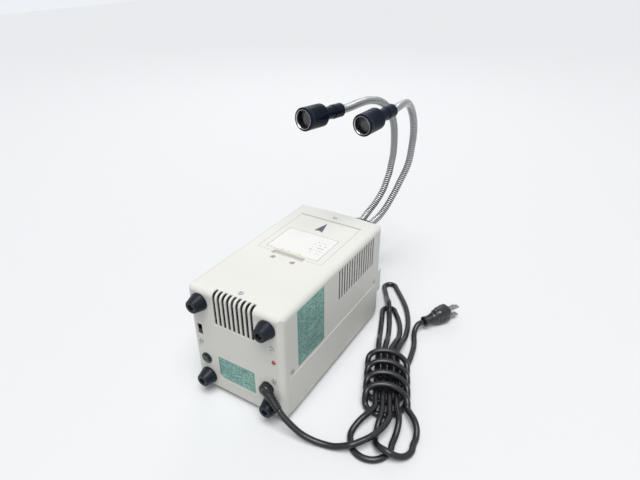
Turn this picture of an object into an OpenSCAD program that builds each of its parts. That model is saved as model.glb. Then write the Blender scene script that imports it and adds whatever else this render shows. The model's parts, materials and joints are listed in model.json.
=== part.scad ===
// Fibre optic illuminator: a fan-cooled lamp house with a plug-in twin gooseneck light guide.
// Millimetres, +Z up, bench at z = 0. The rear panel faces +Y, the front panel faces -Y.

/* [Lamp house] */
// Width of the lamp house
case_w = 124; // [116:1:140]
// Length between the two end faces
case_l = 230; // [222:1:260]
// Height above the small feet
case_h = 140; // [136:1:160]
// Wall of the mouldings
wall = 3; // [2.5:0.25:3.5]
// Radius of the outer edges
edge_r = 7; // [5:0.5:9]
// Radius of the bottom edges
foot_edge_r = 4; // [3.5:0.5:6]
// Height of the tray's side walls
tray_h = 54; // [50:1:58]
// How far the tray stands proud of the cover
tray_proud = 0.4; // [0.2:0.1:0.8]
// Depth of an end panel, from its face to its seam
panel_d = 12.5; // [12:0.5:15]
// Outward bow of the front face
front_bow = 3; // [1:0.5:4]
// Height of the small base feet
foot_h = 5; // [4:0.5:8]
// Diameter of the small base feet
foot_d = 10.5; // [9:0.5:11]

/* [Grilles] */
// Slots in the rear grille
grille_n = 9; // [7:1:9]
// Pitch of the rear slots
grille_pitch = 6.2; // [5.6:0.1:6.4]
// Width of a rear slot
grille_slot = 3.4; // [2.6:0.1:3.8]
// Height of the rear slots below the top face
grille_h = 41.7; // [34:0.5:44]
// Reach of the rear slots over the top edge
grille_wrap = 9.1; // [8:0.1:9.4]
// Slots in each side vent
vent_n = 15; // [11:1:15]
// Pitch of the side slots
vent_pitch = 6.2; // [5.6:0.1:6.4]
// Width of a side slot
vent_slot = 3; // [2.4:0.1:3.6]
// Height of the side slots
vent_h = 42; // [34:1:44]

/* [Lamp door] */
// Width of the lamp door
door_w = 88; // [80:1:92]
// Length of the lamp door
door_l = 99; // [92:1:102]
// Thickness of the lamp door
door_t = 2.4; // [2:0.1:2.6]
// Gap round the lamp door
door_gap = 0.4; // [0.3:0.05:0.6]
// Width of the finger recess
grip_w = 43; // [36:1:50]
// Reach of the finger recess behind the door
grip_l = 4.6; // [4.4:0.1:6]

/* [Rear fittings] */
// Base diameter of a rear rubber foot
rear_foot_d = 21.6; // [20:0.1:22]
// Tip diameter of a rear rubber foot
rear_foot_tip_d = 15.6; // [14:0.1:18]
// Length of a rear rubber foot
rear_foot_l = 14; // [12:0.5:20]
// Inset of the rear feet from the sides
rear_foot_x_in = 17.5; // [17:0.5:19]
// Inset of the rear feet from the top and bottom
rear_foot_z_in = 17; // [17:0.5:18]
// Diameter of the gland's flange
gland_d = 16; // [15:0.5:16.5]
// Diameter of the mains lead
cord_d = 7; // [6.6:0.2:7.2]

/* [Front fittings] */
// Height of the raised control band
band_h = 34; // [32:1:36]
// How far the control band stands proud of the end face
band_d = 9; // [8:0.5:12]
// Diameter of the brightness knob
knob_d = 30; // [26:1:31]
// Length of the brightness knob
knob_l = 17; // [14:1:20]
// Bore of the light guide socket
socket_bore = 15.1; // [15.1:0.1:15.1]
// Diameter of the light guide's ferrule
ferrule_d = 15; // [14.8:0.1:15]
// Reach of the socket's hub in front of its flange
socket_hub_l = 16; // [14:1:20]

/* [Light guide] */
// Outer diameter of a gooseneck
neck_d = 10.6; // [9.6:0.2:11]
// Bore of a gooseneck
neck_bore = 6.4; // [5:0.2:7]
// Distance between the two gooseneck roots
neck_gap = 17; // [16:0.5:19]
// Ribs on each gooseneck
neck_ribs = 64; // [40:1:66]
// Diameter of a head's focusing barrel
barrel_d = 26.4; // [25:0.1:28]
// Length of a head's focusing barrel
barrel_l = 34.5; // [33:0.5:36]
// Diameter of a head's neck
head_neck_d = 16.6; // [15:0.2:17]
// Travel of a focusing barrel
focus_travel = 8; // [4:1:8]

/* [Inside] */
// Size of the square fan
fan_size = 60; // [58:1:60]
// Thickness of the fan
fan_t = 15; // [12:1:20]
// Rim diameter of the lamp's reflector
lamp_d = 50; // [48:1:51]
// Length of the lamp's reflector
lamp_l = 26; // [24:1:28]

/* [Hidden] */
$fn = 48;
fit = 0.1;              // gap where one piece slips into another
run = 0.05;             // radial running clearance of turning and sliding pieces
slit = 0.3;             // gap between pieces that move past each other
bite = 0.5;             // overlap that joins two shapes of one moulding
half_w = case_w / 2;
end_y = case_l / 2;
seam_y = end_y - panel_d;
base_z = foot_h;
top_z = foot_h + case_h;
split_z = foot_h + tray_h;
inner_x = half_w - wall;

screw_r = 1.5;          // shank of the case screws
screw_head_r = 2.9;
screw_head_l = 1.8;
sink_r = 3.25;          // counterbore of the case screws
sink_l = 1;
tab_l = 8.5;            // reach of the panel tabs behind the cover
tab_t = 3;
tab_w = 14;
tab_screw_y = seam_y - tab_l / 2;
side_screw_z = split_z + 6.5;

door_rear_y = 11;       // rear edge of the lamp door
door_front_y = door_rear_y - door_l;
door_nose_r = 3;        // rolled front edge of the door, round the hinge pin
hinge_y = door_front_y + door_nose_r;
hinge_z = top_z - door_nose_r;
hinge_r = 1;
ledge_w = 3;            // shelf that carries the door
ledge_t = 1.6;
grip_notch = 3.2;       // notch in the door's rear edge
grip_drop = 6;          // depth of the finger recess
grip_y0 = door_rear_y - grip_notch - door_gap;
latch_screw_x = 13.4;
latch_screw_y = 22.8;

guide_z = top_z - 50;   // axis of the lamp and the light guide
band_z0 = base_z + 34;
band_z = band_z0 + band_h / 2;
band_y = -end_y - band_d;
band_x = half_w - 1.5;
knob_x = -34;
rocker_x = 38;
pilot_x = 8;

fan_z = top_z - wall - 3.5 - fan_size / 2;
fan_y1 = end_y - wall;
fan_y0 = fan_y1 - fan_t;
fan_hole = fan_size / 2 - 5;

switch_x = 50.3;
switch_z = base_z + 82.3;
fuse_x = 45.5;
fuse_z = base_z + 42.2;
lamp_dot_x = -50.4;
lamp_dot_z = base_z + 80.7;
gland_x = -40.5;
gland_z = base_z + 40.5;

socket_face_y = -end_y - front_bow + 0.6;
socket_flange_d = 40;
socket_flange_t = 4;
socket_hub_d = 28;
socket_sleeve_d = 23;
hub_y = socket_face_y - socket_flange_t - socket_hub_l;
ferrule_y1 = -end_y + wall + 12;
collar_y = hub_y - slit;
collar_l = 6;
branch_y0 = -184;       // far end of the branch block, where the goosenecks start

// ---------------------------------------------------------------- helpers

module block(lo, hi) {
    translate(lo) cube(hi - lo);
}

module rod_y(x, z, y0, y1, r) {
    translate([x, y0, z]) rotate([-90, 0, 0]) cylinder(h = y1 - y0, r = r);
}

module rod_x(y, z, x0, x1, r) {
    translate([x0, y, z]) rotate([0, 90, 0]) cylinder(h = x1 - x0, r = r);
}

module rod_z(x, y, z0, z1, r) {
    translate([x, y, z0]) cylinder(h = z1 - z0, r = r);
}

// outline in (x, z) standing on z0, with rounded top corners
module arched(w, z0, z1, r) {
    translate([-w / 2, z0]) square([w, z1 - z0 - r]);
    translate([-w / 2 + r, z0]) square([w - 2 * r, z1 - z0]);
    for (s = [-1, 1]) translate([s * (w / 2 - r), z1 - r]) circle(r);
}

// outline in (x, z) hanging from z1, with rounded bottom corners
module bellied(w, z0, z1, r) {
    translate([-w / 2, z0 + r]) square([w, z1 - z0 - r]);
    translate([-w / 2 + r, z0]) square([w - 2 * r, z1 - z0]);
    for (s = [-1, 1]) translate([s * (w / 2 - r), z0 + r]) circle(r);
}

// an (x, z) outline carried along Y
module along_y(y0, y1) {
    translate([0, y1, 0]) rotate([90, 0, 0]) linear_extrude(y1 - y0) children();
}

// a (y, z) outline carried along X
module along_x(x0, x1) {
    translate([x0, 0, 0]) rotate([90, 0, 90]) linear_extrude(x1 - x0) children();
}

// a slot outline with round ends, of full length l along its second axis
module slot_outline(w, l) {
    translate([-w / 2, w / 2]) square([w, l - w]);
    for (v = [w / 2, l - w / 2]) translate([0, v]) circle(w / 2);
}

// ---------------------------------------------------------------- lamp house

// one end panel as a solid, facing +Y, shrunk by inset
module panel_block(inset) {
    w = case_w - 2 * inset;
    y0 = seam_y - (inset > 0 ? 1 : 0);
    y1 = end_y - inset;
    z0 = base_z + inset;
    z1 = top_z - inset;
    r = edge_r - inset;
    rf = max(foot_edge_r - inset, 0.4);
    intersection() {
        along_y(y0, y1) {
            arched(w, (z0 + z1) / 2, z1, r);
            bellied(w, z0, (z0 + z1) / 2 + bite, rf);
        }
        along_x(-w / 2, w / 2) {
            translate([y0, z0]) square([y1 - y0 - r, z1 - z0]);
            translate([y0, z0 + rf]) square([y1 - y0, z1 - z0 - r - rf]);
            translate([y1 - r, z1 - r]) circle(r);
            translate([y0, z0]) square([y1 - y0 - rf, rf]);
            translate([y1 - rf, z0 + rf]) circle(rf);
        }
        translate([0, 0, z0]) linear_extrude(z1 - z0) {
            translate([-w / 2, y0]) square([w, y1 - y0 - r]);
            translate([-w / 2 + r, y0]) square([w - 2 * r, y1 - y0]);
            for (s = [-1, 1]) translate([s * (w / 2 - r), y1 - r]) circle(r);
        }
    }
}

// tabs of an end panel that reach behind the cover and take its screws
module panel_tabs() {
    y0 = seam_y - tab_l;
    y1 = end_y - wall;
    difference() {
        union() {
            block([-tab_w / 2, y0, top_z - wall - tab_t], [tab_w / 2, y1, top_z - wall]);
            for (s = [-1, 1]) {
                x0 = s > 0 ? inner_x - tab_t : -inner_x;
                block([x0, y0, side_screw_z - tab_w / 2 + 1], [x0 + tab_t, y1, side_screw_z + tab_w / 2]);
            }
        }
        rod_z(0, tab_screw_y, top_z - wall - tab_t - 1, top_z, screw_r + run);
        rod_x(tab_screw_y, side_screw_z, -half_w, half_w, screw_r + run);
    }
}

// cutter of one rear slot: flared at the mouth, straight up the face and over the top edge
module wrap_slot() {
    flare = 0.7;
    w = grille_slot / 2;
    reach = wall + 1;
    low_z = top_z - grille_h;
    profile = [[-w, -reach], [w, -reach], [w, -flare], [w + flare, 0.01], [-w - flare, 0.01], [-w, -flare]];
    // the profile's second axis points out of the wall
    translate([0, end_y, low_z]) linear_extrude(top_z - edge_r - low_z) polygon(profile);
    translate([0, end_y - edge_r, top_z - edge_r]) rotate([90, 0, 90]) {
        rotate_extrude_wedge() translate([edge_r, 0]) rotate(-90) polygon(profile);
    }
    translate([0, end_y - grille_wrap, top_z]) rotate([-90, 0, 0]) linear_extrude(grille_wrap - edge_r)
        mirror([0, 1]) polygon(profile);
}

// a quarter turn, from +X to +Y
module rotate_extrude_wedge() {
    rotate_extrude(angle = 90, $fn = 96) children();
}

module rear_panel() {
    color([0.90, 0.88, 0.81]) {
        difference() {
            union() {
                difference() {
                    panel_block(0);
                    panel_block(wall);
                }
                panel_tabs();
                // bosses that take the screws of the rear feet
                for (x = [-1, 1], z = rear_foot_zs())
                    rod_y(x * rear_foot_x, z, end_y - wall - 8, end_y - wall + bite, 4.6);
                // pegs that carry the fan
                for (x = [-1, 1], z = [-1, 1])
                    rod_y(x * fan_hole, fan_z + z * fan_hole, end_y - wall - 10, end_y - wall + bite, 1.9);
            }
            for (i = [0 : grille_n - 1]) translate([(i - (grille_n - 1) / 2) * grille_pitch, 0, 0]) wrap_slot();
            for (x = [-1, 1], z = rear_foot_zs())
                rod_y(x * rear_foot_x, z, end_y - wall - 9, end_y + 1, foot_screw_r + run);
            block([switch_x - 3.5, end_y - wall - 1, switch_z - 7.5], [switch_x + 3.5, end_y + 1, switch_z + 7.5]);
            rod_y(fuse_x, fuse_z, end_y - wall - 1, end_y + 1, fuse_body_r + fit);
            rod_y(lamp_dot_x, lamp_dot_z, end_y - wall - 1, end_y + 1, 2 + fit);
            rod_y(gland_x, gland_z, end_y - wall - 1, end_y + 1, gland_neck_r + fit);
            block([rear_label_x0, end_y - label_sink, rear_label_z0],
                [rear_label_x0 + rear_label_w, end_y + 1, rear_label_z0 + rear_label_h]);
            for (p = rear_screws) rod_y(p[0], p[1], end_y - wall - 1, end_y + 1, screw_r + fit);
            for (x = [-1, 1]) rod_z(x * foot_x, foot_y, base_z - 1, base_z + wall + 1, 2 + fit);
        }
    }
}

// the front end face, bowed outward round a far axis, with its top edge rolled the same way
module bowed_block() {
    chord = half_w - edge_r;
    bow_r = (chord * chord + front_bow * front_bow) / (2 * front_bow);
    axis_y = -end_y - front_bow + bow_r;
    deep = panel_d + front_bow + 2;
    intersection() {
        along_y(-end_y - front_bow - 1, -seam_y) {
            arched(case_w, split_z, top_z, edge_r);
            bellied(case_w, base_z, split_z + bite, foot_edge_r);
        }
        translate([0, axis_y, 0]) rotate([0, 0, -110]) rotate_extrude(angle = 40, $fn = 720) {
            translate([bow_r - deep, base_z]) square([deep - edge_r, case_h]);
            translate([bow_r - deep, base_z + foot_edge_r]) square([deep, case_h - edge_r - foot_edge_r]);
            translate([bow_r - edge_r, top_z - edge_r]) circle(edge_r);
            translate([bow_r - deep, base_z]) square([deep - foot_edge_r, foot_edge_r]);
            translate([bow_r - foot_edge_r, base_z + foot_edge_r]) circle(foot_edge_r);
        }
        translate([0, 0, base_z]) linear_extrude(case_h) {
            translate([-half_w, -end_y + edge_r]) square([case_w, panel_d - edge_r]);
            translate([-chord, -end_y - front_bow - 1]) square([2 * chord, panel_d + front_bow + 1]);
            for (s = [-1, 1]) translate([s * chord, -end_y + edge_r]) circle(edge_r);
        }
    }
}

module control_band(inset, depth) {
    x = band_x - inset;
    z0 = band_z0 + inset;
    h = band_h - 2 * inset;
    y0 = band_y + depth;
    y1 = -end_y + wall + 0.5;
    r = 3;
    intersection() {
        translate([0, 0, z0]) linear_extrude(h) {
            translate([-x, y0 + r]) square([2 * x, y1 - y0 - r]);
            translate([-x + r, y0]) square([2 * (x - r), y1 - y0]);
            for (s = [-1, 1]) translate([s * (x - r), y0 + r]) circle(r);
        }
        along_x(-x, x) {
            translate([y0 + r, z0]) square([y1 - y0 - r, h]);
            translate([y0, z0 + r]) square([y1 - y0, h - 2 * r]);
            for (z = [z0 + r, z0 + h - r]) translate([y0 + r, z]) circle(r);
        }
    }
}

module front_panel() {
    color([0.90, 0.88, 0.81]) difference() {
        union() {
            difference() {
                bowed_block();
                mirror([0, 1, 0]) panel_block(wall);
            }
            control_band(0, 0);
            mirror([0, 1, 0]) panel_tabs();
        }
        control_band(wall, wall);
        rod_y(0, guide_z, -end_y - 10, socket_face_y, socket_flange_d / 2 + 1);
        rod_y(0, guide_z, -end_y - 10, -end_y + wall + 1, socket_sleeve_d / 2 + fit);
        for (x = [-1, 1]) rod_z(x * foot_x, -foot_y, base_z - 1, base_z + wall + 1, 2 + fit);
        rod_y(knob_x, band_z, band_y - 1, band_y + wall + 1, bush_r + fit);
        block([rocker_x - rocker_w / 2 - fit, band_y - 1, band_z - rocker_h / 2 - fit],
            [rocker_x + rocker_w / 2 + fit, band_y + wall + 1, band_z + rocker_h / 2 + fit]);
        rod_y(pilot_x, band_z, band_y - 1, band_y + wall + 1, pilot_r + fit);
        for (a = socket_screw_as) translate([0, 0, guide_z]) rotate([0, a, 0])
            rod_y(0, socket_screw_pcr, -end_y - 10, -end_y + wall + 1, 1.25 + run);
    }
}

// upper shell: top and two side walls, open at both ends
module top_cover() {
    deep = 2 * seam_y;
    vent_top = top_z - edge_r - 1;
    color([0.92, 0.90, 0.83]) difference() {
        union() {
            difference() {
                along_y(-seam_y, seam_y) arched(case_w, split_z, top_z, edge_r);
                along_y(-seam_y - 1, seam_y + 1)
                    arched(case_w - 2 * wall, split_z - 1, top_z - wall, edge_r - wall);
            }
            // frame under the lamp door
            block([-door_w / 2 - 5, door_front_y - 3.5, ledge_z - ledge_t],
                [door_w / 2 + 5, door_rear_y + grip_l + 3, top_z - wall + bite]);
            block([-grip_w / 2 - 1.5, grip_y0 - 1.5, top_z - grip_drop - 1.2],
                [grip_w / 2 + 1.5, door_rear_y + grip_l + 1.5, top_z - wall + bite]);
            // two bosses for the latch screws
            for (s = [-1, 1])
                rod_z(s * latch_screw_x, latch_screw_y, top_z - wall - 4, top_z - wall + bite, 4);
        }
        // well of the door, and the opening below it
        block([-door_w / 2 - door_gap, door_front_y - door_gap, ledge_z],
            [door_w / 2 + door_gap, door_rear_y + door_gap, top_z + 1]);
        block([-door_w / 2 + ledge_w, door_front_y - door_gap, ledge_z - ledge_t - 1],
            [door_w / 2 - ledge_w, door_rear_y - ledge_w - grip_notch, top_z]);
        // relief for the rolled edge of the door
        block([-door_w / 2 - door_gap, door_front_y - door_gap, ledge_z - ledge_t - 1],
            [door_w / 2 + door_gap, hinge_y + door_nose_r + slit, top_z]);
        rod_x(hinge_y, hinge_z, -door_w / 2 - hinge_reach, door_w / 2 + hinge_reach, hinge_r + run);
        finger_recess();
        for (s = [-1, 1]) rod_z(s * latch_screw_x, latch_screw_y, top_z - wall - 5, top_z + 1, screw_r + run);
        for (s = [-1, 1]) rod_z(s * latch_screw_x, latch_screw_y, top_z - sink_l - screw_head_l, top_z + 1, sink_r);
        for (s = [-1, 1]) {
            translate([s * (half_w - 2 * wall), 0, 0]) for (i = [0 : vent_n - 1])
                translate([-wall * 2, -vent_start - i * vent_pitch, vent_top - vent_h])
                    rotate([90, 0, 90]) linear_extrude(4 * wall) slot_outline(vent_slot, vent_h);
            rod_z(0, s * tab_screw_y, top_z - wall - 1, top_z + 1, screw_r + fit);
            rod_z(0, s * tab_screw_y, top_z - sink_l, top_z + 1, sink_r);
            rod_x(s * tab_screw_y, side_screw_z, -half_w - 1, half_w + 1, screw_r + fit);
            for (e = [-1, 1]) rod_x(s * tab_screw_y, side_screw_z,
                e > 0 ? half_w - sink_l : -half_w - 1, e > 0 ? half_w + 1 : -half_w + sink_l, sink_r);
        }
    }
}

// pocket behind the door, whose floor climbs to the rear in ribs
module finger_recess() {
    y1 = door_rear_y + grip_l;
    low = top_z - grip_drop;
    ribs = 5;
    pitch = grip_w / ribs;
    rib_w = 1.2;
    rib_h = 0.8;
    for (i = [0 : ribs - 1])
        along_x(-grip_w / 2 + i * pitch + rib_w / 2, -grip_w / 2 + (i + 1) * pitch - rib_w / 2)
            polygon([[grip_y0, low], [door_rear_y, low], [y1, top_z - 2], [y1, top_z + 1], [grip_y0, top_z + 1]]);
    along_x(-grip_w / 2, grip_w / 2) polygon([[grip_y0, low + rib_h], [door_rear_y, low + rib_h],
        [y1, top_z - 2 + rib_h], [y1, top_z + 1], [grip_y0, top_z + 1]]);
}

module base_tray() {
    w = case_w + 2 * tray_proud;
    lip_h = 3;
    lip_t = 1.5;
    lip_y = seam_y - tab_l - 2;
    color([0.88, 0.86, 0.79]) difference() {
        union() {
            difference() {
                along_y(-seam_y, seam_y) bellied(w, base_z, split_z, foot_edge_r);
                along_y(-seam_y - 1, seam_y + 1)
                    bellied(2 * inner_x, base_z + wall, split_z + 1, 1.5);
            }
            // tongue inside the cover's walls
            for (s = [-1, 1]) {
                x0 = s > 0 ? inner_x - fit - lip_t : -inner_x + fit;
                block([x0, -lip_y, split_z - 6], [x0 + lip_t, lip_y, split_z + lip_h]);
            }
            for (s = [-1, 1]) {
                x0 = s > 0 ? inner_x - fit - lip_t : -inner_x - bite;
                block([x0, -lip_y, split_z - 6], [x0 + lip_t + fit + bite, lip_y, split_z - 2]);
            }
            // posts that carry the circuit board
            for (y = board_post_ys, z = board_post_zs)
                rod_x(y, z, board_x1, inner_x + bite, 3);
        }
        for (x = [-1, 1], y = [-1, 1])
            rod_z(x * core_screw_x, core_y + y * core_screw_y, base_z - 1, base_z + wall + 1, screw_r + fit);
        for (y = bracket_screw_ys) rod_z(0, y, base_z - 1, base_z + wall + 1, screw_r + fit);
    }
}

foot_x = 50;
foot_y = 106;

module base_feet() {
    color([0.30, 0.24, 0.18]) for (x = [-1, 1], y = [-1, 1]) translate([x * foot_x, y * foot_y, 0]) {
        rotate_extrude() polygon([[0, 0], [foot_d / 2 - 1.5, 0], [foot_d / 2 - 1, 0.6], [foot_d / 2, foot_h - 1],
            [foot_d / 2, foot_h], [0, foot_h]]);
        rod_z(0, 0, foot_h - bite, foot_h + wall, 2);
    }
}

ledge_z = top_z - door_t - slit;
hinge_reach = 3.5;

// flap over the lamp, hinged at its front edge
module lamp_door() {
    x = door_w / 2;
    color([0.93, 0.91, 0.84]) difference() {
        union() {
            block([-x, hinge_y, top_z - door_t], [x, door_rear_y, top_z]);
            rod_x(hinge_y, hinge_z, -x, x, door_nose_r);
            // stiffening rim inside the opening
            difference() {
                block([-x + ledge_w + 0.6, hinge_y + door_nose_r + 1, top_z - door_t - 3],
                    [x - ledge_w - 0.6, door_rear_y - ledge_w - grip_notch - 0.6, top_z - door_t + bite]);
                block([-x + ledge_w + 2.2, hinge_y + door_nose_r + 2.6, top_z - door_t - 4],
                    [x - ledge_w - 2.2, door_rear_y - ledge_w - grip_notch - 2.2, top_z - door_t]);
            }
        }
        rod_x(hinge_y, hinge_z, -x - 1, x + 1, hinge_r + run);
        block([-grip_w / 2, door_rear_y - grip_notch, top_z - door_t - 1],
            [grip_w / 2, door_rear_y + 1, top_z + 1]);
        block([-chart_w / 2 - run, chart_y0 - run, top_z - plate_t],
            [chart_w / 2 + run, chart_y0 + chart_l + run, top_z + 1]);
        translate([0, 0, top_z - plate_t]) linear_extrude(1) arrow_outline();
    }
}

module door_hinge_pin() {
    color("silver") rod_x(hinge_y, hinge_z, -door_w / 2 - hinge_reach, door_w / 2 + hinge_reach, hinge_r);
}

plate_t = 0.3;
chart_w = 72.8;
chart_l = 53.7;
chart_y0 = -47.4;

module lamp_chart_plate() {
    color([0.95, 0.94, 0.90]) block([-chart_w / 2, chart_y0, top_z - plate_t], [chart_w / 2, chart_y0 + chart_l, top_z]);
}

module arrow_outline() {
    polygon([[0, -79], [6, -55.5], [0, -57.2], [-6, -55.5]]);
}

module arrow_mark() {
    color([0.14, 0.20, 0.33]) translate([0, 0, top_z - plate_t]) linear_extrude(plate_t) arrow_outline();
}

side_label_y0 = 33.4;
side_label_l = 53.4;
side_label_z0 = split_z + 4.5;
side_label_h = 74;

module side_label() {
    color([0.50, 0.72, 0.66]) block([-half_w - plate_t, side_label_y0, side_label_z0],
        [-half_w, side_label_y0 + side_label_l, side_label_z0 + side_label_h]);
}

rear_label_x0 = -23.2;
rear_label_w = 51.4;
rear_label_z0 = base_z + 21.1;
rear_label_h = 31.2;
label_sink = 0.5;

module rear_label() {
    color([0.50, 0.72, 0.66]) block([rear_label_x0 + fit, end_y - label_sink, rear_label_z0 + fit],
        [rear_label_x0 + rear_label_w - fit, end_y - label_sink + plate_t, rear_label_z0 + rear_label_h - fit]);
}

// ---------------------------------------------------------------- screws

// a case screw with its head up, its head's underside at the origin
module case_screw(l) {
    difference() {
        union() {
            cylinder(h = screw_head_l, r = screw_head_r);
            translate([0, 0, -l]) cylinder(h = l + bite, r = screw_r);
        }
        for (a = [0, 90]) rotate([0, 0, a]) translate([-1.9, -0.4, screw_head_l - 0.8]) cube([3.8, 0.8, 1]);
    }
}

rear_screws = [[50.8, base_z + 65.2], [-49, base_z + 99], [-50.2, base_z + 55.1]];

module case_screws() {
    long = wall - sink_l + tab_t;
    color("silver") {
        for (s = [-1, 1]) translate([0, s * tab_screw_y, top_z - sink_l]) case_screw(long);
        for (s = [-1, 1], e = [-1, 1]) translate([e * (half_w - sink_l), s * tab_screw_y, side_screw_z])
            rotate([0, 90 * e, 0]) case_screw(long);
        for (s = [-1, 1]) translate([s * latch_screw_x, latch_screw_y, top_z - sink_l - screw_head_l])
            case_screw(wall + 1);
        for (p = rear_screws) translate([p[0], end_y, p[1]]) rotate([-90, 0, 0]) case_screw(wall + 3);
        for (x = [-1, 1], y = [-1, 1]) translate([x * core_screw_x, core_y + y * core_screw_y, base_z])
            rotate([180, 0, 0]) case_screw(wall + core_plate_t);
        for (y = bracket_screw_ys) translate([0, y, base_z]) rotate([180, 0, 0]) case_screw(wall + bracket_t);
    }
}

// ---------------------------------------------------------------- rear fittings

rear_foot_x = half_w - rear_foot_x_in;
foot_screw_r = 1.95;
foot_bore_r = 3.6;
foot_floor = 8;
function rear_foot_zs() = [base_z + rear_foot_z_in, top_z - rear_foot_z_in];

module rear_feet() {
    r0 = rear_foot_d / 2;
    r1 = rear_foot_tip_d / 2;
    color([0.10, 0.11, 0.14]) for (x = [-1, 1], z = rear_foot_zs())
        translate([x * rear_foot_x, end_y, z]) rotate([-90, 0, 0]) difference() {
            rotate_extrude() union() {
                polygon([[0, 0], [r0 - 0.6, 0], [r0, 0.8], [r0, 2.4], [r1, rear_foot_l - 1.2],
                    [r1 - 1.2, rear_foot_l - 1.2], [r1 - 1.2, rear_foot_l], [0, rear_foot_l]]);
                translate([r1 - 1.2, rear_foot_l - 1.2]) circle(1.2);
            }
            translate([0, 0, foot_floor]) cylinder(h = rear_foot_l, r = foot_bore_r);
            translate([0, 0, -1]) cylinder(h = rear_foot_l, r = foot_screw_r + fit);
        }
}

module rear_foot_screws() {
    color("silver") for (x = [-1, 1], z = rear_foot_zs())
        translate([x * rear_foot_x, end_y + foot_floor, z]) rotate([-90, 0, 0]) difference() {
            union() {
                cylinder(h = 2.4, r = 3.3);
                translate([0, 0, -foot_floor - wall - 6]) cylinder(h = foot_floor + wall + 6 + bite, r = foot_screw_r);
            }
            for (a = [0, 90]) rotate([0, 0, a]) translate([-2.2, -0.45, 1.5]) cube([4.4, 0.9, 1.5]);
        }
}

selector_travel = 6;

module voltage_selector() {
    color([0.08, 0.08, 0.09]) difference() {
        block([switch_x - 3.4, end_y - wall - 8, switch_z - 7.4], [switch_x + 3.4, end_y - 1.2, switch_z + 7.4]);
        block([switch_x - 2.6, end_y - 5, switch_z - 6.4], [switch_x + 2.6, end_y, switch_z + 6.4]);
    }
}

module selector_slider() {
    l = 5.6;
    z0 = switch_z - 6.1;
    color([0.12, 0.12, 0.13]) difference() {
        block([switch_x - 2.3, end_y - 4.7, z0], [switch_x + 2.3, end_y - 0.8, z0 + l]);
        block([switch_x - 3, end_y - 1.8, z0 + l / 2 - 0.5], [switch_x + 3, end_y, z0 + l / 2 + 0.5]);
    }
}

fuse_body_r = 6;
fuse_cap_r = 5;
fuse_l = 20;

module fuse_holder() {
    color([0.07, 0.08, 0.08]) difference() {
        union() {
            rod_y(fuse_x, fuse_z, end_y - 34, end_y + bite, fuse_body_r);
            rod_y(fuse_x, fuse_z, end_y, end_y + 1.4, fuse_body_r + 0.9);
        }
        rod_y(fuse_x, fuse_z, end_y - 32, end_y + 2, fuse_cap_r + run);
    }
}

module fuse_cap() {
    color([0.10, 0.15, 0.13]) difference() {
        union() {
            rod_y(fuse_x, fuse_z, end_y - 7, end_y + 2.6, fuse_cap_r);
            rod_y(fuse_x, fuse_z, end_y + 1.8, end_y + 3.2, fuse_cap_r - 0.6);
        }
        rod_y(fuse_x, fuse_z, end_y - 8, end_y - 3, 2.7);
        block([fuse_x - 3.6, end_y + 2, fuse_z - 0.6], [fuse_x + 3.6, end_y + 4, fuse_z + 0.6]);
    }
}

module fuse() {
    y1 = end_y - 3.1;
    color("silver") {
        rod_y(fuse_x, fuse_z, y1 - 6, y1, 2.6);
        rod_y(fuse_x, fuse_z, y1 - fuse_l, y1 - fuse_l + 6, 2.6);
        rod_y(fuse_x, fuse_z, y1 - fuse_l + 1, y1 - 1, 2.3);
    }
}

module rear_indicator() {
    color([0.80, 0.16, 0.10]) {
        rod_y(lamp_dot_x, lamp_dot_z, end_y - 8, end_y + bite, 2);
        translate([lamp_dot_x, end_y, lamp_dot_z]) rotate([-90, 0, 0]) rotate_extrude() intersection() {
            translate([0, -1.2]) circle(2.9);
            square([2.6, 3]);
        }
    }
}

// strain relief: a domed head on a flange, with a tapered sleeve that leads the cord down and aside
gland_neck_r = 6;
gland_boss_r = 7.6;
gland_boss_l = 8.5;
sleeve_l = 24;
sleeve_yaw = 78;        // swing of the sleeve from +Y towards -X
sleeve_dip = 38;        // dip of the sleeve below the level
sleeve_at = [gland_x, end_y + 4.6, gland_z];
sleeve_dir = [-sin(sleeve_yaw) * cos(sleeve_dip), cos(sleeve_yaw) * cos(sleeve_dip), -sin(sleeve_dip)];

module at_sleeve() {
    translate(sleeve_at) rotate([0, 0, sleeve_yaw]) rotate([-90 - sleeve_dip, 0, 0]) children();
}

module cord_gland() {
    color([0.06, 0.06, 0.07]) difference() {
        union() {
            rod_y(gland_x, gland_z, end_y - wall - 7, end_y + bite, gland_neck_r);
            rod_y(gland_x, gland_z, end_y, end_y + 1.6, gland_d / 2);
            rod_y(gland_x, gland_z, end_y, end_y + gland_boss_l - 3, gland_boss_r);
            translate([gland_x, end_y + gland_boss_l - 3, gland_z]) rotate([-90, 0, 0]) rotate_extrude() {
                square([gland_boss_r - 3, 3]);
                intersection() {
                    translate([gland_boss_r - 3, 0]) circle(3);
                    square([gland_boss_r, 3]);
                }
            }
            at_sleeve() cylinder(h = sleeve_l, r1 = 5.6, r2 = 4.3);
        }
        for (i = [0 : 3]) at_sleeve() translate([0, 0, 11 + i * 3.2]) difference() {
            cylinder(h = 1, r = 8);
            translate([0, 0, -1]) cylinder(h = 3, r = 4.1);
        }
    }
}

// ---------------------------------------------------------------- front fittings

module guide_socket() {
    color([0.78, 0.79, 0.80]) difference() {
        union() {
            rod_y(0, guide_z, socket_face_y - socket_flange_t, socket_face_y, socket_flange_d / 2);
            rod_y(0, guide_z, hub_y, socket_face_y - 1, socket_hub_d / 2);
            rod_y(0, guide_z, socket_face_y - 1, ferrule_y1, socket_sleeve_d / 2);
        }
        rod_y(0, guide_z, hub_y - 1, ferrule_y1 + 1, socket_bore / 2);
        rod_x(clamp_y, guide_z, 0, socket_hub_d, 2 + run);
        for (a = socket_screw_as) translate([0, 0, guide_z]) rotate([0, a, 0])
            rod_y(0, socket_screw_pcr, socket_face_y - socket_flange_t - 1, socket_face_y + 1, 1.25 + fit);
    }
}

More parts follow.
